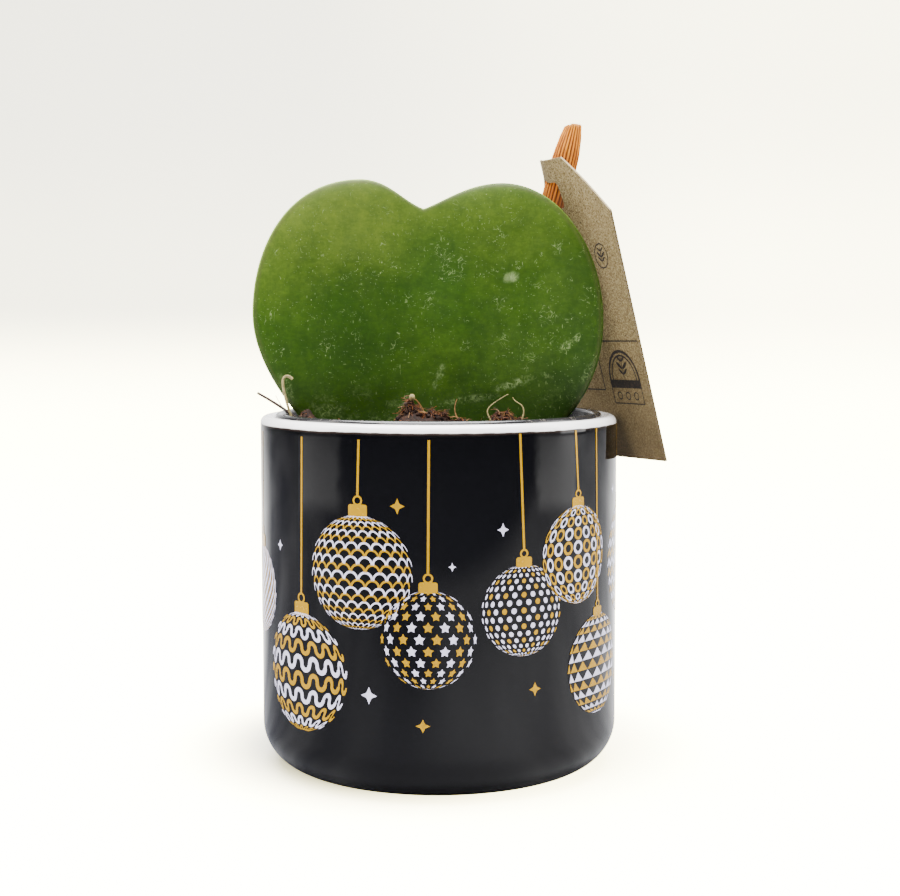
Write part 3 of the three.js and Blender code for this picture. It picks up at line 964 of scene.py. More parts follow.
def makeLeaf():
    around = leaf["around"]
    outline = heartOutline(around)
    body = startWith("heartLeaf", bpy.ops.mesh.primitive_uv_sphere_add, segments=around,
                     ring_count=leaf["rings"], radius=1, rotation=upright)
    margin = []
    for vertex in body.data.vertices:
        x, y, z = vertex.co
        reach = math.asin(min(1, math.hypot(x, z))) / (math.pi / 2)
        # the ball's meridians start at the right, and so do the outline's points
        edge = outline[round(math.atan2(z, x) / (2 * math.pi) * around) % around]
        vertex.co, out = leafPlace(edge, reach, y < 0)
        margin.append(out)
    writeValues(body, "margin", margin)
    foot, top = leaf["stalkRadii"]
    stalk = startWith("leafStalk", bpy.ops.mesh.primitive_cone_add, vertices=32, radius1=foot * mm,
                      radius2=top * mm, depth=leaf["stalkLength"] * mm,
                      location=(leaf["x"] * mm, leaf["y"] * mm, leaf["stalkMiddle"] * mm))
    body = join("heartLeaf", [body, stalk])
    tidyNormals(body)
    smooth(body, 70)
    dress(body, leafFlesh())
    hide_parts("leaf")
    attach(body, "root")


def leafFlesh():
    material, inputs = newMaterial("leafFlesh", IOR=1.42, Specular_IOR_Level=0.12, Subsurface_Weight=0.15,
                                   Subsurface_Scale=0.0012, Subsurface_Radius=(0.6, 1.0, 0.15))
    place = objectPlace()
    x, y, z = axes(place)
    margin = attribute("margin")

    # broad shades: the upper lobes lighter, more on the left, as painted light; painted shade in the valley
    # and down the right edge, darkest low down by the compost
    broad = ramp(noiseNode(place, 75, 4, 0.6, 0.4), 0.3, 0.7)
    height = z + broad * (5 * mm)
    shade = mixColours(broad, *leaf["flesh"])
    # painted light: the upper lobes, more on the left, are lighter
    lobesPaintedLight = rampMm(height, 88, 116) * mixValues(rampMm(x, 4, -20), 0.5, 1.0)
    shade = mixColours(lobesPaintedLight, shade, leaf["lobesPaintedLight"])
    # painted shade in the valley down the middle of the leaf
    valley = rampMm(abs(x + 1.5 * mm), 11, 2) * rampMm(z, 84, 96) * rampMm(z, 108, 101)
    shade = mixColours(valley * 0.45, shade, leaf["valley"])
    # painted shade down the right side, away from the light
    shade = mixColours(rampMm(x - z * 0.12, 6, 19) * 0.64, shade, leaf["rightSidePaintedShade"])
    # painted shade low down, just above the compost and the pot's rim
    shade = mixColours(rampMm(height - x * 0.12, 84, 70) * 0.62, shade, leaf["low"])
    middleLeft = rampMm(abs(x + 17 * mm), 19, 0) * rampMm(height, 107, 87) * rampMm(height, 72, 84)
    shade = mixColours(middleLeft * 0.72, shade, leaf["middleLeft"])
    # a faint bloom over the right half
    bloom = rampMm(x, 0, 16) * ramp(noiseNode(place, 70, 4, 0.6), 0.40, 0.62)
    shade = mixColours(bloom * 0.05, shade, leaf["bloom"])

    # soft mottling, and a fine grain of short upright and level streaks
    mottle = ramp(noiseNode(place, 330, 4, 0.65, 0.5), 0.32, 0.68)
    shade = mixColours(mottle, shade, brighter(shade, leaf["mottleGain"]))
    tall = noiseNode(objectPlace((1, 1, 0.5), (0, 0.35, 0)), 1500, 5, 0.7, 0.9)
    wide = noiseNode(objectPlace((0.4, 1, 1), (0, 0.15, 0)), 2000, 4, 0.65, 0.9)
    grain = tall * 0.45 + wide * 0.55
    shade = mixColours(ramp(grain, 0.44, 0.60), shade, brighter(shade, leaf["grainGain"]))

    # pale specks, thicker in some places, with short curled, upright and level scratches
    patchy = noiseNode(place, 120)
    cover = patchy + rampMm(x, -34, -4) * 0.10
    speck = speckle(objectPlace((1, 1, 0.7), (0, 0.6, 0)), 1000, 0.115, cover, 0.42, 0.66)
    tiny = speckle(place, 2100, 0.19, cover, 0.36, 0.62)
    curl = hairlines(place, 480, 0.010, noiseNode(objectPlace(shift=(0.3, 0, 0)), 420, 2),
                     0.74 - cover * 0.26, 0.66)
    dash = speckle(objectPlace((1, 1, 0.2), (0, 0.12, 0)), 1500, 0.13, cover, 0.38, 0.62)
    level = speckle(objectPlace((0.2, 1, 1), (0, 0.1, 0)), 1600, 0.12, cover, 0.40, 0.62)
    marks = highest(speck * 0.75, tiny * 0.5, curl * 0.6, dash * 0.5, level * 0.4)
    # on the front only: curled scratches in a few places
    near = 0.0
    for centreX, centreZ, size in leaf["scribbles"]:
        away = distance(x - centreX * mm, z - centreZ * mm)
        near = highest(near, rampMm(away, size, size * 0.6))
    scratches = near * hairlines(place, 560, 0.013, 1.0, 0.4, 0.5) * 0.5
    # chalky scuffs, broken up by a coarse grain and thin scratches
    broken = ramp(noiseNode(objectPlace((1, 1, 0.7)), 1300, 6, 0.78, 0.8), 0.46, 0.62)
    broken = highest(broken * 0.75, hairlines(place, 700, 0.03, 1.0, 0.4, 0.5))
    ragged = noiseNode(place, 800) * 1.5
    for scuffX, scuffZ, length, width, slant, strength in leaf["scuffs"]:
        across, rise = x - scuffX * mm, z - scuffZ * mm
        cosine, sine = math.cos(math.radians(slant)) / mm, math.sin(math.radians(slant)) / mm
        along = across * (cosine / length) + rise * (sine / length)
        aside = rise * (cosine / width) - across * (sine / width)
        inside = ramp(along * along + aside * aside + ragged, 1.95, 0.75) * strength
        full = mixValues(0.55, broken, 1.0) if strength > 0.8 else broken
        scratches = highest(scratches, inside * full)
    # chalk in patches at the foot
    chalk = rampMm(z, 77, 69) * ramp(patchy, 0.45, 0.65)
    chalk = chalk * ramp(noiseNode(place, 1300, 5, 0.7), 0.46, 0.66)
    marks = highest(marks, highest(scratches, chalk * 0.4) * rampMm(y, -2.4, -3.2))
    shade = mixColours(marks, shade, leaf["marks"])
    # a few small dark pits
    pit = speckle(place, 240, 0.055, noiseNode(place, 60, 2), 0.30, 0.9)
    shade = mixColours(pit * 0.7, shade, leaf["pits"])

    # the margin: a thin brownish line, then a paler edge painted as if light came through it, mostly on the
    # upper left
    rind = ramp(margin, 0.960, 0.980) * ramp(margin, 0.995, 0.984)
    shade = mixColours(rind * 0.3, shade, leaf["rind"])
    # painted light: the edge is brightest at the top and on the left
    edgeLightMask = mixValues(rampMm(z, 74, 98), 0.2, 1.0) * mixValues(rampMm(x, 14, 3), 0.15, 1.0)
    shade = mixColours(ramp(margin, 0.989, 0.9995) * edgeLightMask, shade, leaf["edgePaintedLight"])
    dimples = bump(noiseNode(place, 420, 4, 0.6), 0.10 * mm, 0.35)
    connect(inputs, Base_Color=shade, Roughness=noiseNode(place, 500, 4) * 0.22 + 0.33 + marks * 0.3,
            Normal=bump(grain, 0.03 * mm, 0.5, dimples))
    return material


makeLeaf()
print("leaf made")


# Reed stick: ribbed rattan, worn slimmer towards its rough cut top, in millimetres

reed = {
    "at": (25.3, 8.74, 119.0),
    "lean": (0.25, 0.0585),
    "foot": 32.0, "top": 126.38, "fineFrom": 64, "fineSteps": 90, "cutRings": (0.3, 0.3, 0.3, 0.2),
    "radius": 2.74, "ribs": 22, "ribDepth": 0.11,
    "wornLength": 8.6, "wornDepth": 1.22,
    "wood": ((0.46, 0.140, 0.0012), (0.27, 0.056, 0.0008)), "groovePaintedShade": (0.060, 0.010, 0.0006),
    "palePatch": (0.60, 0.26, 0.005), "yellowTop": (0.62, 0.26, 0.004), "shaded": (0.045, 0.011, 0.001),
    "cut": ((0.10, 0.036, 0.006), (0.42, 0.21, 0.045)), "belowCardPaintedShade": (0.10, 0.030, 0.004),
    "towardsCompost": (0.06, 0.022, 0.006),
}


def reedAxis(z):
    above = z - reed["at"][2]
    return reed["at"][0] + reed["lean"][0] * above, reed["at"][1] + reed["lean"][1] * above


def makeReed():
    radius, ribs, top, fineFrom = reed["radius"], reed["ribs"], reed["top"], reed["fineFrom"]
    stick = startWith("reedStick", bpy.ops.mesh.primitive_circle_add, vertices=ribs * 8, radius=radius,
                      fill_type="NGON", location=(0, 0, reed["foot"]))
    startEdit(stick, "FACE")
    steps = reed["fineSteps"]
    heights = [reed["foot"], 50] + [fineFrom + (top - fineFrom) * i / steps for i in range(steps + 1)]
    for low, high in zip(heights, heights[1:]):
        bpy.ops.mesh.extrude_region_move(TRANSFORM_OT_translate={"value": (0, 0, high - low)})
    # the cut end is inset in rings, so that its fibres can be ragged
    for inset in reed["cutRings"]:
        bpy.ops.mesh.inset(thickness=inset, depth=0)
    objectMode()
    ridges = []
    for vertex in stick.data.vertices:
        x, y, z = vertex.co
        angle, out = math.atan2(y, x), math.hypot(x, y) / radius
        rib = reed["ribDepth"] * (math.cos(angle * ribs) - 1)
        worn = max(0, 1 - (top - z) / reed["wornLength"])
        fine = 0.12 * noise.noise(Vector((x * 1.6, y * 1.6, z * 0.12)))
        fine += 0.16 * worn * noise.noise(Vector((x * 2.4, y * 2.4, z * 0.4)))
        size = out * (radius + rib * 1.15 - reed["wornDepth"] * worn * worn + fine)
        # splinters stand a little unevenly at the cut
        if z > top - 0.4:
            z -= 0.35 + 0.5 * noise.noise(Vector((x * 2.1, y * 2.1, 4.0))) + 0.3 * out
        cx, cy = reedAxis(z)
        vertex.co = (cx + size * math.cos(angle), cy + size * math.sin(angle), z)
        ridges.append(0.5 + 0.5 * math.cos(angle * ribs) if out > 0.99 else 0.8)
    writeValues(stick, "ridge", ridges)
    settle(stick, scale=(mm, mm, mm))
    tidyNormals(stick)
    smooth(stick, 50)
    dress(stick, reedWood())
    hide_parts("stick")
    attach(stick, "root")


def reedWood():
    material, inputs = newMaterial("reedWood", IOR=1.45, Specular_IOR_Level=0.2)
    x, z = axes(objectPlace(), "XZ")
    lean, top = reed["lean"], reed["top"]
    along = objectPlace((1, 1, 0.05), (math.atan(lean[1]), -math.atan(lean[0]), 0))
    streak = noiseNode(along, 2300, 4, 0.65)
    ridge = attribute("ridge")
    shade = mixColours(ramp(streak, 0.36, 0.66), *reed["wood"])
    # painted shade in the grooves between the ribs
    shade = mixColours(ramp(ridge, 0.72, 0.15) * 0.92, shade, reed["groovePaintedShade"])
    shade = mixColours(ramp(noiseNode(along, 900), 0.5, 0.75) * ridge * 0.6, shade, reed["palePatch"])
    # yellower towards the cut, and brown at its right where the card shades it
    shade = mixColours(rampMm(z, 115, 125) * ridge * 0.3, shade, reed["yellowTop"])
    fromAxis = x - (z * lean[0] + reedAxis(0)[0] * mm)
    shaded = rampMm(fromAxis, -1.0, 2.2) * rampMm(z, 118, 115)
    shade = mixColours(shaded * 0.85, shade, reed["shaded"])
    # the cut end is paler, with dark pores
    pores = ramp(noiseNode(objectPlace((1, 1, 0.1)), 3200, 2), 0.42, 0.58)
    shade = mixColours(rampMm(z, top - 1.1, top - 0.5) * 0.7, shade, mixColours(pores, *reed["cut"]))
    # painted shade below the card that hangs over it, and darker towards the compost
    # painted shade where the card hangs over the reed
    shade = mixColours(rampMm(z, 114, 109) * 0.45, shade, reed["belowCardPaintedShade"])
    shade = mixColours(rampMm(z, 78, 68) * 0.6, shade, reed["towardsCompost"])
    connect(inputs, Base_Color=shade, Roughness=mixValues(streak, 0.5, 0.75),
            Normal=bump(streak, 0.14 * mm, 0.8))
    return material


makeReed()
print("reed stick made")


# Tag: a card that hangs on the reed by its slot, bent away behind the leaf, in millimetres

tag = {
    "corner": (30.25, -8.9, 119.19),
    "down": (0.2424, 0.1171, -1.0),
    "turn": 60.5, "headTurn": 34.0, "bendSteps": 24,
    "width": 33.6, "height": 61.9, "thickness": 0.42, "cut": 11.6, "cells": (48, 88),
    "slotTop": 4.6, "slotLength": 5.4, "slotWidth": 5.8, "slotMiddle": 17.0, "slotCorner": 1.1,
    "push": 1.5, "reedRoom": 0.15,
    "pulp": ((0.090, 0.064, 0.024), (0.245, 0.188, 0.090)),
    "paleFibre": (0.31, 0.25, 0.15), "darkFleck": (0.028, 0.018, 0.008),
    "pulpPaintedShade": ((0.050, 0.033, 0.016), (0.110, 0.076, 0.040)), "paintedShadeByPot": (0.022, 0.016, 0.010),
    "edgePaintedLightAndShade": ((0.30, 0.245, 0.145), (0.050, 0.036, 0.022)),
}
tagDown = Vector(tag["down"]).normalized()
tagSide = (Vector((1, 0, 0)) - tagDown * tagDown.x).normalized()
tagBack = tagSide.cross(tagDown)


def onTag(across, down, out):
    # across is measured from the right edge, down from the top edge, out towards the reed's upper end
    headTurn = math.radians(tag["headTurn"]) * (1 - smoothstep(down, 6, 40))

    def heading(s):
        return math.radians(tag["turn"]) + headTurn * (smoothstep(s, 12, 26) - 0.45 * smoothstep(s, 21, 26))

    steps = tag["bendSteps"]
    point = Vector(tag["corner"]) + tagDown * down
    for i in range(steps):
        turn = heading((i + 0.5) / steps * across)
        point += (tagBack * math.sin(turn) - tagSide * math.cos(turn)) * (across / steps)
    turn = heading(across)
    normal = tagSide * math.sin(turn) + tagBack * math.cos(turn)
    fromSlot = (across - tag["width"] / 2) / 7
    pushed = tag["push"] * math.exp(-fromSlot ** 2) * (1 - smoothstep(down, 3, 16))
    return (point + normal * (out - pushed)) * mm


def bendCard(piece):
    # the flat card, drawn in XY with its top edge along X, takes its bent place behind the leaf
    for vertex in piece.data.vertices:
        vertex.co = onTag(vertex.co.x, -vertex.co.y, vertex.co.z)


def makeTag():
    width, height, cut = tag["width"], tag["height"], tag["cut"]
    slotWidth, slotLength = tag["slotWidth"], tag["slotLength"]
    card = startWith("cardTag", bpy.ops.mesh.primitive_grid_add, (width, height, 1), size=1,
                     x_subdivisions=tag["cells"][0], y_subdivisions=tag["cells"][1],
                     location=(width / 2, -height / 2, 0))
    startEdit(card)
    # the two top corners are cut off
    for place, normal in (((cut, 0, 0), (-1, 1, 0)), ((width - cut, 0, 0), (1, 1, 0))):
        selectAll()
        bpy.ops.mesh.bisect(plane_co=place, plane_no=normal, clear_outer=True)
    objectMode()
    shapeWith(card, "SOLIDIFY", thickness=tag["thickness"], offset=0)
    # the slot, with rounded corners
    cutter = startWith("slotCutter", bpy.ops.mesh.primitive_cube_add, (slotWidth, slotLength, 3), size=1,
                       location=(tag["slotMiddle"], -tag["slotTop"] - slotLength / 2, 0))

    def standing(edge):
        first, second = (cutter.data.vertices[i].co for i in edge.vertices)
        return abs(first.z - second.z) > 1

    editWhere(cutter, "EDGE", standing)
    bpy.ops.mesh.bevel(offset=tag["slotCorner"], segments=6)
    objectMode()
    cutOut(card, cutter)
    faces = card.data.polygons
    writeValues(card, "down", [-vertex.co.y for vertex in card.data.vertices])
    writeValues(card, "side", [float(abs(face.normal.z) < 0.5) for face in faces], "FACE")
    writeValues(card, "inner", [float(face.normal.z < -0.5) for face in faces], "FACE")
    bendCard(card)
    # room for the reed, a little wider than it is
    passing = startWith("reedPassing", bpy.ops.mesh.primitive_cylinder_add, vertices=64,
                        radius=(reed["radius"] + tag["reedRoom"]) * mm, depth=40 * mm)
    lean = Vector((*reed["lean"], 1)).normalized()
    settle(passing, rotation_mode="QUATERNION", location=Vector(reed["at"]) * mm,
           rotation_quaternion=Vector((0, 0, 1)).rotation_difference(lean))
    cutOut(card, passing)
    tidyNormals(card)
    smooth(card, 35)
    dress(card, kraftCard())
    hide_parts("tag")
    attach(card, "root")


def kraftCard():
    material, inputs = newMaterial("kraftCard", Specular_IOR_Level=0.12)
    place = objectPlace()
    y, z = axes(place, "YZ")
    down, side, inner = attribute("down"), attribute("side"), attribute("inner")
    grain = noiseNode(place, 2900, 5, 0.78)
    shade = mixColours(ramp(grain, 0.40, 0.62), *tag["pulp"])
    # short pale and dark fibres in the pulp
    fibre = hairlines(objectPlace((1, 1, 1.7)), 900, 0.02, noiseNode(place, 1500, 2), 0.5, 0.6)
    shade = mixColours(fibre * 0.5, shade, tag["paleFibre"])
    fleck = speckle(objectPlace((1, 1, 0.55)), 2500, 0.34, noiseNode(place, 420, 2), 0.28, 0.46)
    shade = mixColours(fleck * 0.8, shade, tag["darkFleck"])
    # painted shade: browner and duller towards the bottom, which faces down beside the pot
    low = ramp(down + noiseNode(place, 90) * 8.0, 34.0, 62.0)
    shade = mixColours(low * 0.62, shade, mixColours(grain, *tag["pulpPaintedShade"]))
    # painted shade on the inner face, low down where it hangs against the pot's side
    paintedShadeByPot = rampMm(y, 5.5, 9) * rampMm(z, 69, 66.5) * inner * 0.6
    shade = mixColours(paintedShadeByPot, shade, tag["paintedShadeByPot"])
    # the cut edge: painted light, paler at the top, and painted shade, grey-brown down the side
    rim = mixColours(ramp(down, tag["cut"] - 0.4, tag["cut"] + 0.4), *tag["edgePaintedLightAndShade"])
    waves = bump(noiseNode(place, 240), 0.12 * mm, 0.35)
    connect(inputs, Base_Color=mixColours(side * 0.75, shade, rim), Roughness=mixValues(grain, 0.7, 0.95),
            Normal=bump(grain, 0.05 * mm, 0.7, waves))
    return material


tagPrint = {
    "ink": (0.012, 0.009, 0.008), "wornInk": (0.10, 0.075, 0.045),
    "line": 0.24, "proud": 0.02, "cell": 1.2,
    # across, down, width and height of bars and rules
    "rules": [
        (7.2, 37.4, 13.2, 0.28), (20.6, 37.4, 13.0, 0.28), (15.4, 44.1, 0.28, 7.1),
        (21.0, 47.6, 11.4, 0.28), (15.2, 15.1, 3.4, 0.24),
    ],
    "oval": (6.3, 20.2, 2.2, 2.55),
    # across, foot of its dome, and half width and height of the dome
    "badge": (7.7, 45.4, 5.2, 6.2),
    # height on the stem and size of each pair of a sprig's leaves
    "sprig": [(-0.5, 0.75), (0.05, 1.0), (0.55, 0.85)],
}


def makeTagPrint():
    # rules, and two plain frames with simple leaf signs, on the side that faces left
    line = tagPrint["line"]
    parts = []

    def bar(across, down, width, height):
        cells = [max(1, round(size / tagPrint["cell"])) for size in (width, height)]
        parts.append(startWith("tagBar", bpy.ops.mesh.primitive_grid_add, (width, height, 1), size=1,
                               x_subdivisions=cells[0], y_subdivisions=cells[1],
                               location=(across, -down, 0)))

    def ring(across, down, wide, tall, start=0, turn=360, thick=line):
        # an oval line, or part of one
        hoop = spunStrip("tagRing", 1.0 - thick / wide, 1.0, start, turn, 36)
        parts.append(settle(hoop, scale=(wide, 1, tall), rotation_euler=(-math.pi / 2, 0, 0),
                            location=(across, -down, 0)))

    def sprig(across, down, size):
        # slim pointed leaves in pairs on an upright stem
        bar(across, down, line * 0.8, size * 1.7)
        for step, share in tagPrint["sprig"]:
            reach = size * 0.42 * share
            for lean in (-1, 1):
                parts.append(startWith(
                    "tagBlade", bpy.ops.mesh.primitive_circle_add, (reach * 0.34, reach, 1), vertices=12,
                    radius=1.0, fill_type="NGON", rotation=(0, 0, -lean * 0.85),
                    location=(across + lean * size * 0.36 * share, -down - step * size + size * 0.2, 0)))

    for rule in tagPrint["rules"]:
        bar(*rule)
    across, down, wide, tall = tagPrint["oval"]
    ring(across, down, wide, tall)
    sprig(across, down, tall * 0.72)
    across, down, wide, tall = tagPrint["badge"]
    ring(across, down, wide, tall, -90, 180, 0.5)
    ring(across, down, wide - 1.0, tall - 1.0, -90, 180, 0.3)
    sprig(across, down - tall * 0.42, tall * 0.4)
    bar(across, down + 0.85, 2 * wide, 1.7)
    for shift in (-wide, wide):
        bar(across + shift * 0.97, down + 3.2, line, 3.4)
    bar(across, down + 4.9, 2 * wide * 0.97, line)
    for shift in (-2.8, 0, 2.8):
        ring(across + shift, down + 3.3, 0.85, 0.85)

    ink = join("tagPrint", parts)
    for vertex in ink.data.vertices:
        vertex.co.z = -tag["thickness"] / 2 - tagPrint["proud"]
    bendCard(ink)
    tidyNormals(ink)
    material, inputs = newMaterial("tagInk", Specular_IOR_Level=0.15)
    worn = ramp(noiseNode(objectPlace(), 2600, 4, 0.7), 0.50, 0.72)
    connect(inputs, Base_Color=mixColours(worn * 0.55, tagPrint["ink"], tagPrint["wornInk"]),
            Roughness=mixValues(worn, 0.65, 0.9))
    dress(ink, material)
    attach(ink, "root")


makeTag()
makeTagPrint()
print("tag made")


# Compost: a rough surface that follows the solid's, with crumbs, coir fibres and rootlets

compost = {
    "spacing": 0.38 * mm, "edge": 28.45 * mm, "lowest": 63.9 * mm,
    "side": 8 * mm, "depth": 40 * mm, "taper": 0.83,
    "cloudSize": 0.0022, "roughness": 2.0 * mm,
    "crumbs": 900, "crumbSeeds": 4, "crumbsOnClumps": 0.5,
    "fibres": 760, "fibreSeeds": 4, "fibresOnClumps": 0.74, "spread": 27 * mm,
    # clumps of coir: x, y, width and height over the surface, in millimetres
    "clumps": [
        (-5.6, -10.0, 0.85, 4.5), (-6.7, -10.2, 1.2, 2.0), (-4.2, -10.2, 1.4, 1.7), (-1.2, -10.4, 1.3, 2.2),
        (0.9, -10.5, 1.0, 1.7), (4.8, -10.6, 1.4, 2.0), (8.0, -10.5, 1.4, 2.1), (11.2, -10.2, 1.5, 3.0),
        (13.4, -10.2, 1.4, 3.5), (15.6, -10.3, 1.4, 2.9), (18.4, -10.4, 1.2, 2.3), (-27.0, -8.4, 1.0, 0.7),
    ],
    # strands that show: colour, thickness, share of it left at the tip, and points in millimetres
    "strands": [
        ("dark", 0.62, 0.8, [(-25.6, -6, 66.5), (-28.9, -6.4, 69.7), (-32, -5.6, 71.4), (-35.1, -4.8, 73.1)]),
        ("pale", 0.50, 1.15, [(-27.4, -9, 66.4), (-28.4, -9, 69.2), (-29.4, -8.9, 72.6), (-29.9, -8.8, 75.4),
                              (-29.5, -8.8, 76.5), (-28.6, -8.8, 76.6), (-27.9, -8.8, 75.9)]),
        ("grey", 0.16, 0.6, [(-29.0, -8, 69.0), (-29.9, -8, 70.3), (-30.8, -7.6, 71.7), (-31.3, -7.4, 72.7)]),
        ("tan", 0.30, 0.5, [(4.4, -10.6, 67.4), (2.8, -10, 69.3), (3.0, -9.8, 70.6), (3.6, -9.4, 72.1)]),
        ("tan", 0.26, 0.6, [(1.4, -10.6, 67.4), (2.0, -10.4, 68.6), (2.8, -10, 69.3), (4.6, -10.6, 68.1)]),
        ("pale", 0.34, 0.45, [(10.4, -10.8, 67.3), (9.6, -10.6, 68.8), (9.1, -10.4, 69.8),
                              (10.0, -10.2, 70.9), (11.4, -9.9, 71.9), (13.4, -9.6, 73.0)]),
        ("pale", 0.36, 0.4, [(15.6, -10.8, 67.3), (16.3, -10.6, 68.9), (16.4, -10.4, 70.2),
                             (15.8, -10.2, 71.2), (14.6, -10, 71.6), (14.2, -9.8, 72.4)]),
        ("tan", 0.24, 0.6, [(-4.6, -10.4, 72.2), (-3.8, -10.2, 71.8), (-3.2, -10.2, 70.6),
                            (-2.6, -10.4, 69.6)]),
        ("tan", 0.42, 0.7, [(-5.0, -11, 69.4), (-3.4, -10.8, 69.9), (-2.0, -10.8, 69.4)]),
        ("tan", 0.34, 0.6, [(-1.6, -11, 68.8), (-0.2, -10.8, 68.6), (1.2, -10.8, 67.4)]),
    ],
    "bead": (-5.0, -10.4, 72.4, 0.62),
    # dark and light shade of the bed and of the crumbs, and what both have in places
    "bedShades": ((0.006, 0.003, 0.0022), (0.034, 0.0145, 0.0075)),
    "crumbShades": ((0.007, 0.0032, 0.0024), (0.040, 0.0155, 0.0070)),
    "reddish": (0.062, 0.020, 0.007), "straw": (0.16, 0.080, 0.030),
    "shades": {
        "rust": (0.155, 0.043, 0.007), "brown": (0.045, 0.017, 0.007), "tan": (0.22, 0.100, 0.026),
        "dark": (0.030, 0.013, 0.008), "pale": (0.27, 0.215, 0.085), "grey": (0.08, 0.085, 0.075),
    },
    # the colours that the fibres are picked from, in their shares
    "fibreColours": ("rust", "rust", "rust", "brown", "brown", "tan"),
}


def topUnder(solid, x, y):
    # the height at which a ray from above meets it, or None
    found, place = solid.ray_cast(Vector((x, y, 0.09)), Vector((0, 0, -1)))[:2]
    return place.z if found else None


def surfaceHeight(solid, x, y):
    # the solid's top at a place, with thin strands passed over and pockets closed
    away = 0.9 * mm
    around = [(away * math.cos(math.pi / 2 * i), away * math.sin(math.pi / 2 * i)) for i in range(1, 5)]
    heights = [topUnder(solid, x + dx, y + dy) for dx, dy in [(0.0, 0.0), *around]]
    return max(min((height for height in heights if height), default=0), compost["lowest"])


def clumpLift(x, y):
    lift = 0.0
    for cx, cy, width, height in compost["clumps"]:
        away = ((x / mm - cx) ** 2 + (y / mm - cy) ** 2) / (width * width)
        lift = max(lift, height * math.exp(-away))
    return lift * mm


def makeCompost():
    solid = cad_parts["compost"]
    edge, taper = compost["edge"], compost["taper"]
    count = int(2 * edge / compost["spacing"])
    bed = startWith("compostBed", bpy.ops.mesh.primitive_grid_add, x_subdivisions=count,
                    y_subdivisions=count, size=2 * edge)
    editWhere(bed, "VERT", lambda vertex: math.hypot(vertex.co.x, vertex.co.y) > edge)
    bpy.ops.mesh.delete(type="VERT")
    objectMode()
    for vertex in bed.data.vertices:
        x, y = vertex.co.x, vertex.co.y
        vertex.co.z = surfaceHeight(solid, x, y) + 0.7 * clumpLift(x, y)
    startEdit(bed)
    bpy.ops.mesh.vertices_smooth(factor=0.5, repeat=3)
    objectMode()
    clods = bpy.data.textures.new("clods", "CLOUDS")
    clods.noise_scale = compost["cloudSize"]
    clods.noise_depth = 4
    shapeWith(bed, "DISPLACE", texture=clods, texture_coords="LOCAL", direction="Z",
              strength=compost["roughness"], mid_level=0.55)
    # sides and underside
    startEdit(bed, "EDGE")
    bpy.ops.mesh.region_to_loop()
    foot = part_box("compost")[0][2]
    extrudeEdges(0, 0, -compost["side"])
    extrudeEdges(0, 0, -compost["depth"])
    bpy.ops.transform.resize(value=(taper, taper, 0), center_override=(0, 0, foot))
    bpy.ops.mesh.edge_face_add()
    tidyNormals(bed)
    smooth(bed, 55)
    dress(bed, compostMaterial("coirCompost", *compost["bedShades"]))
    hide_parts("compost")
    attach(bed, "root")
    return bed


def spotOnBed(dice, i, share):
    # a place on one of the clumps for the given share of the pieces, or anywhere on the bed
    spread = compost["spread"]
    if i % 100 < share * 100:
        cx, cy, width = dice.choice(compost["clumps"])[:3]
        x, y = (cx + dice.gauss(0, width * 0.55)) * mm, (cy + dice.gauss(0, width * 0.4)) * mm
    else:
        away, turn = 26.8 * mm * math.sqrt(dice.random()), dice.uniform(0, 2 * math.pi)
        x, y = away * math.cos(turn), away * math.sin(turn)
    away = math.hypot(x, y)
    return (x, y) if away < spread else (x * spread / away, y * spread / away)


def makeCrumbs(bed):
    # rough lumps, half sunk, more of them on the clumps of coir
    dice = random.Random(41)
    seeds, lumps = [], []
    for i in range(compost["crumbSeeds"]):
        seed = startWith("crumbSeed", bpy.ops.mesh.primitive_uv_sphere_add, segments=8, ring_count=5,
                         radius=1)
        shift = Vector((i * 3.7, 0, 0))
        for vertex in seed.data.vertices:
            vertex.co *= 1 + 0.7 * noise.noise(vertex.co * 1.4 + shift)
        seeds.append(seed)
    for i in range(compost["crumbs"]):
        x, y = spotOnBed(dice, i, compost["crumbsOnClumps"])
        size = dice.uniform(0.16, 0.55) * mm
        lump = copyOf(seeds[i % len(seeds)])
        lump.scale = (size, size * dice.uniform(0.6, 1), size * dice.uniform(0.5, 0.9))
        lump.rotation_euler = (dice.uniform(-0.8, 0.8), dice.uniform(-0.8, 0.8), dice.uniform(0, 6.28))
        height = (topUnder(bed, x, y) or compost["lowest"]) + 0.15 * size
        lump.location = (x, y, height + dice.uniform(0, 0.22) * clumpLift(x, y))
        lumps.append(lump)
    discard(*seeds)
    crumbs = settle(join("compostCrumbs", lumps))
    smooth(crumbs, 60)
    dress(crumbs, compostMaterial("coirCrumbs", *compost["crumbShades"]))
    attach(crumbs, "root")


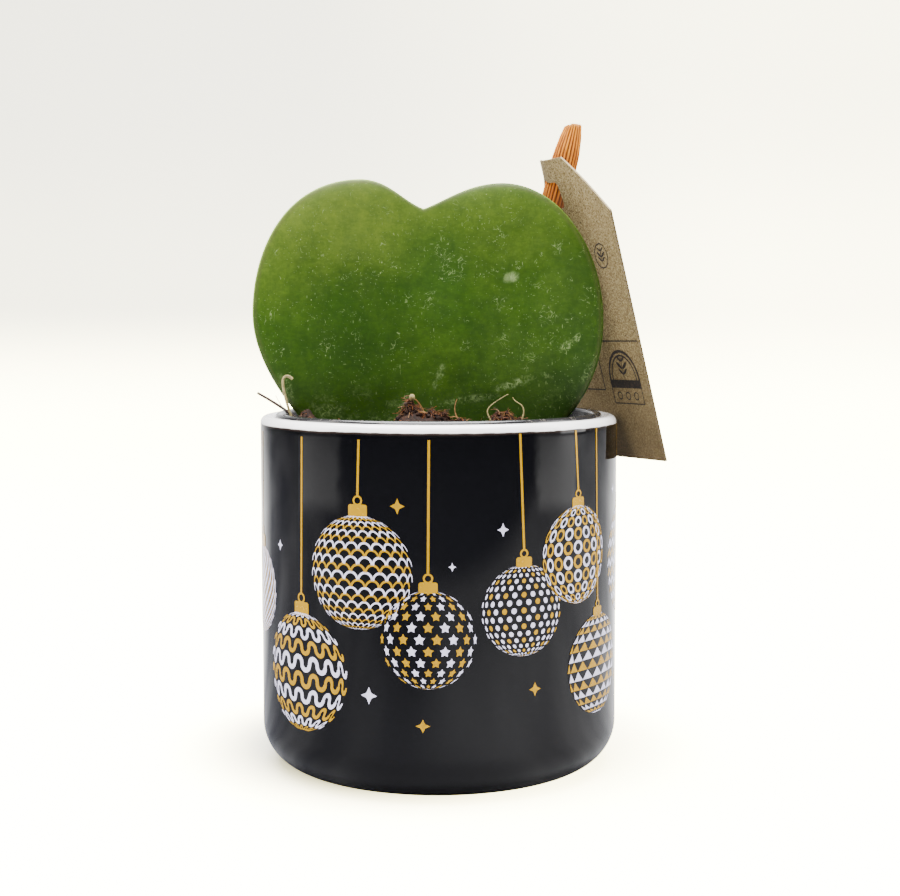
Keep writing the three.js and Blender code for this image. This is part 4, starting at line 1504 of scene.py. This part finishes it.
def makeFibres(bed):
    # a few curled fibres of each colour, copied over the bed, thickest on the clumps
    dice = random.Random(97)
    share = compost["fibresOnClumps"]
    sets = {colour: [] for colour in compost["shades"]}
    seeds = {"rust": [], "brown": [], "tan": []}
    for fibres in seeds.values():
        for i in range(compost["fibreSeeds"]):
            bow, twist = dice.uniform(0.5, 1.8), dice.uniform(-0.5, 0.5)
            points = [(s * mm, (bow * s * s * 0.45 + twist * s ** 3) * mm, (0.35 - 0.55 * s * s) * mm)
                      for s in (-1, -0.5, 0, 0.5, 1)]
            fibres.append(strand("fibreSeed", points, 0.10 * mm, 0.6, 0, 3))
    for i in range(compost["fibres"]):
        x, y = spotOnBed(dice, i, share)
        colour = dice.choice(compost["fibreColours"])
        fibre = copyOf(dice.choice(seeds[colour]))
        size = dice.uniform(0.7, 1.9) * (0.68 if i % 100 < share * 100 else 1.0)
        inward = 1 if math.hypot(x, y) < 25 * mm else 0.5
        fibre.scale = (size * inward, size * inward, size)
        fibre.rotation_euler = (dice.gauss(0, 0.5), dice.gauss(0, 0.5), dice.uniform(0, 6.28))
        height = (topUnder(bed, x, y) or compost["lowest"]) + 0.1 * mm
        fibre.location = (x, y, height + dice.uniform(0, 0.3) * clumpLift(x, y))
        sets[colour].append(fibre)
    for colour in seeds:
        discard(*seeds[colour])
        sets[colour] = [settle(join("fibres", sets[colour]))]
    for colour, thickness, tip, points in compost["strands"]:
        route = [tuple(value * mm for value in point) for point in points]
        sets[colour].append(strand("rootlet", route, thickness * mm, tip))
    x, y, z, size = compost["bead"]
    sets["pale"].append(startWith("bead", bpy.ops.mesh.primitive_uv_sphere_add, (1, 0.9, 1.15), segments=16,
                                  ring_count=10, radius=size * mm, location=(x * mm, y * mm, z * mm)))
    for colour, strands in sets.items():
        fibres = join("fibres" + colour.capitalize(), strands)
        smooth(fibres, 60)
        dress(fibres, fibreMaterial(colour))
        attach(fibres, "root")


def compostMaterial(name, dark, light):
    material, inputs = newMaterial(name, Specular_IOR_Level=0.2)
    place = objectPlace()
    lump = noiseNode(place, 620, 6, 0.72)
    shade = mixColours(ramp(lump, 0.36, 0.66), dark, light)
    shade = mixColours(ramp(noiseNode(place, 240), 0.5, 0.7) * 0.6, shade, compost["reddish"])
    straw = hairlines(objectPlace((1, 1, 0.4)), 700, 0.012, noiseNode(place, 500, 2), 0.5, 0.6)
    connect(inputs, Base_Color=mixColours(straw * 0.6, shade, compost["straw"]),
            Roughness=mixValues(lump, 0.95, 0.7), Normal=bump(lump, 0.5 * mm, 0.9))
    return material


def fibreMaterial(colour):
    material, inputs = newMaterial(colour + "Fibre", Specular_IOR_Level=0.3)
    shade = compost["shades"][colour]
    patch = noiseNode(objectPlace(), 1300, 4, 0.6)
    connect(inputs, Base_Color=mixColours(ramp(patch, 0.35, 0.7), shade, [0.45 * part for part in shade]),
            Roughness=mixValues(patch, 0.45, 0.75), Normal=bump(patch, 0.08 * mm, 0.6))
    return material


compostBed = makeCompost()
makeCrumbs(compostBed)
makeFibres(compostBed)
print("compost made")

print("all pieces made")
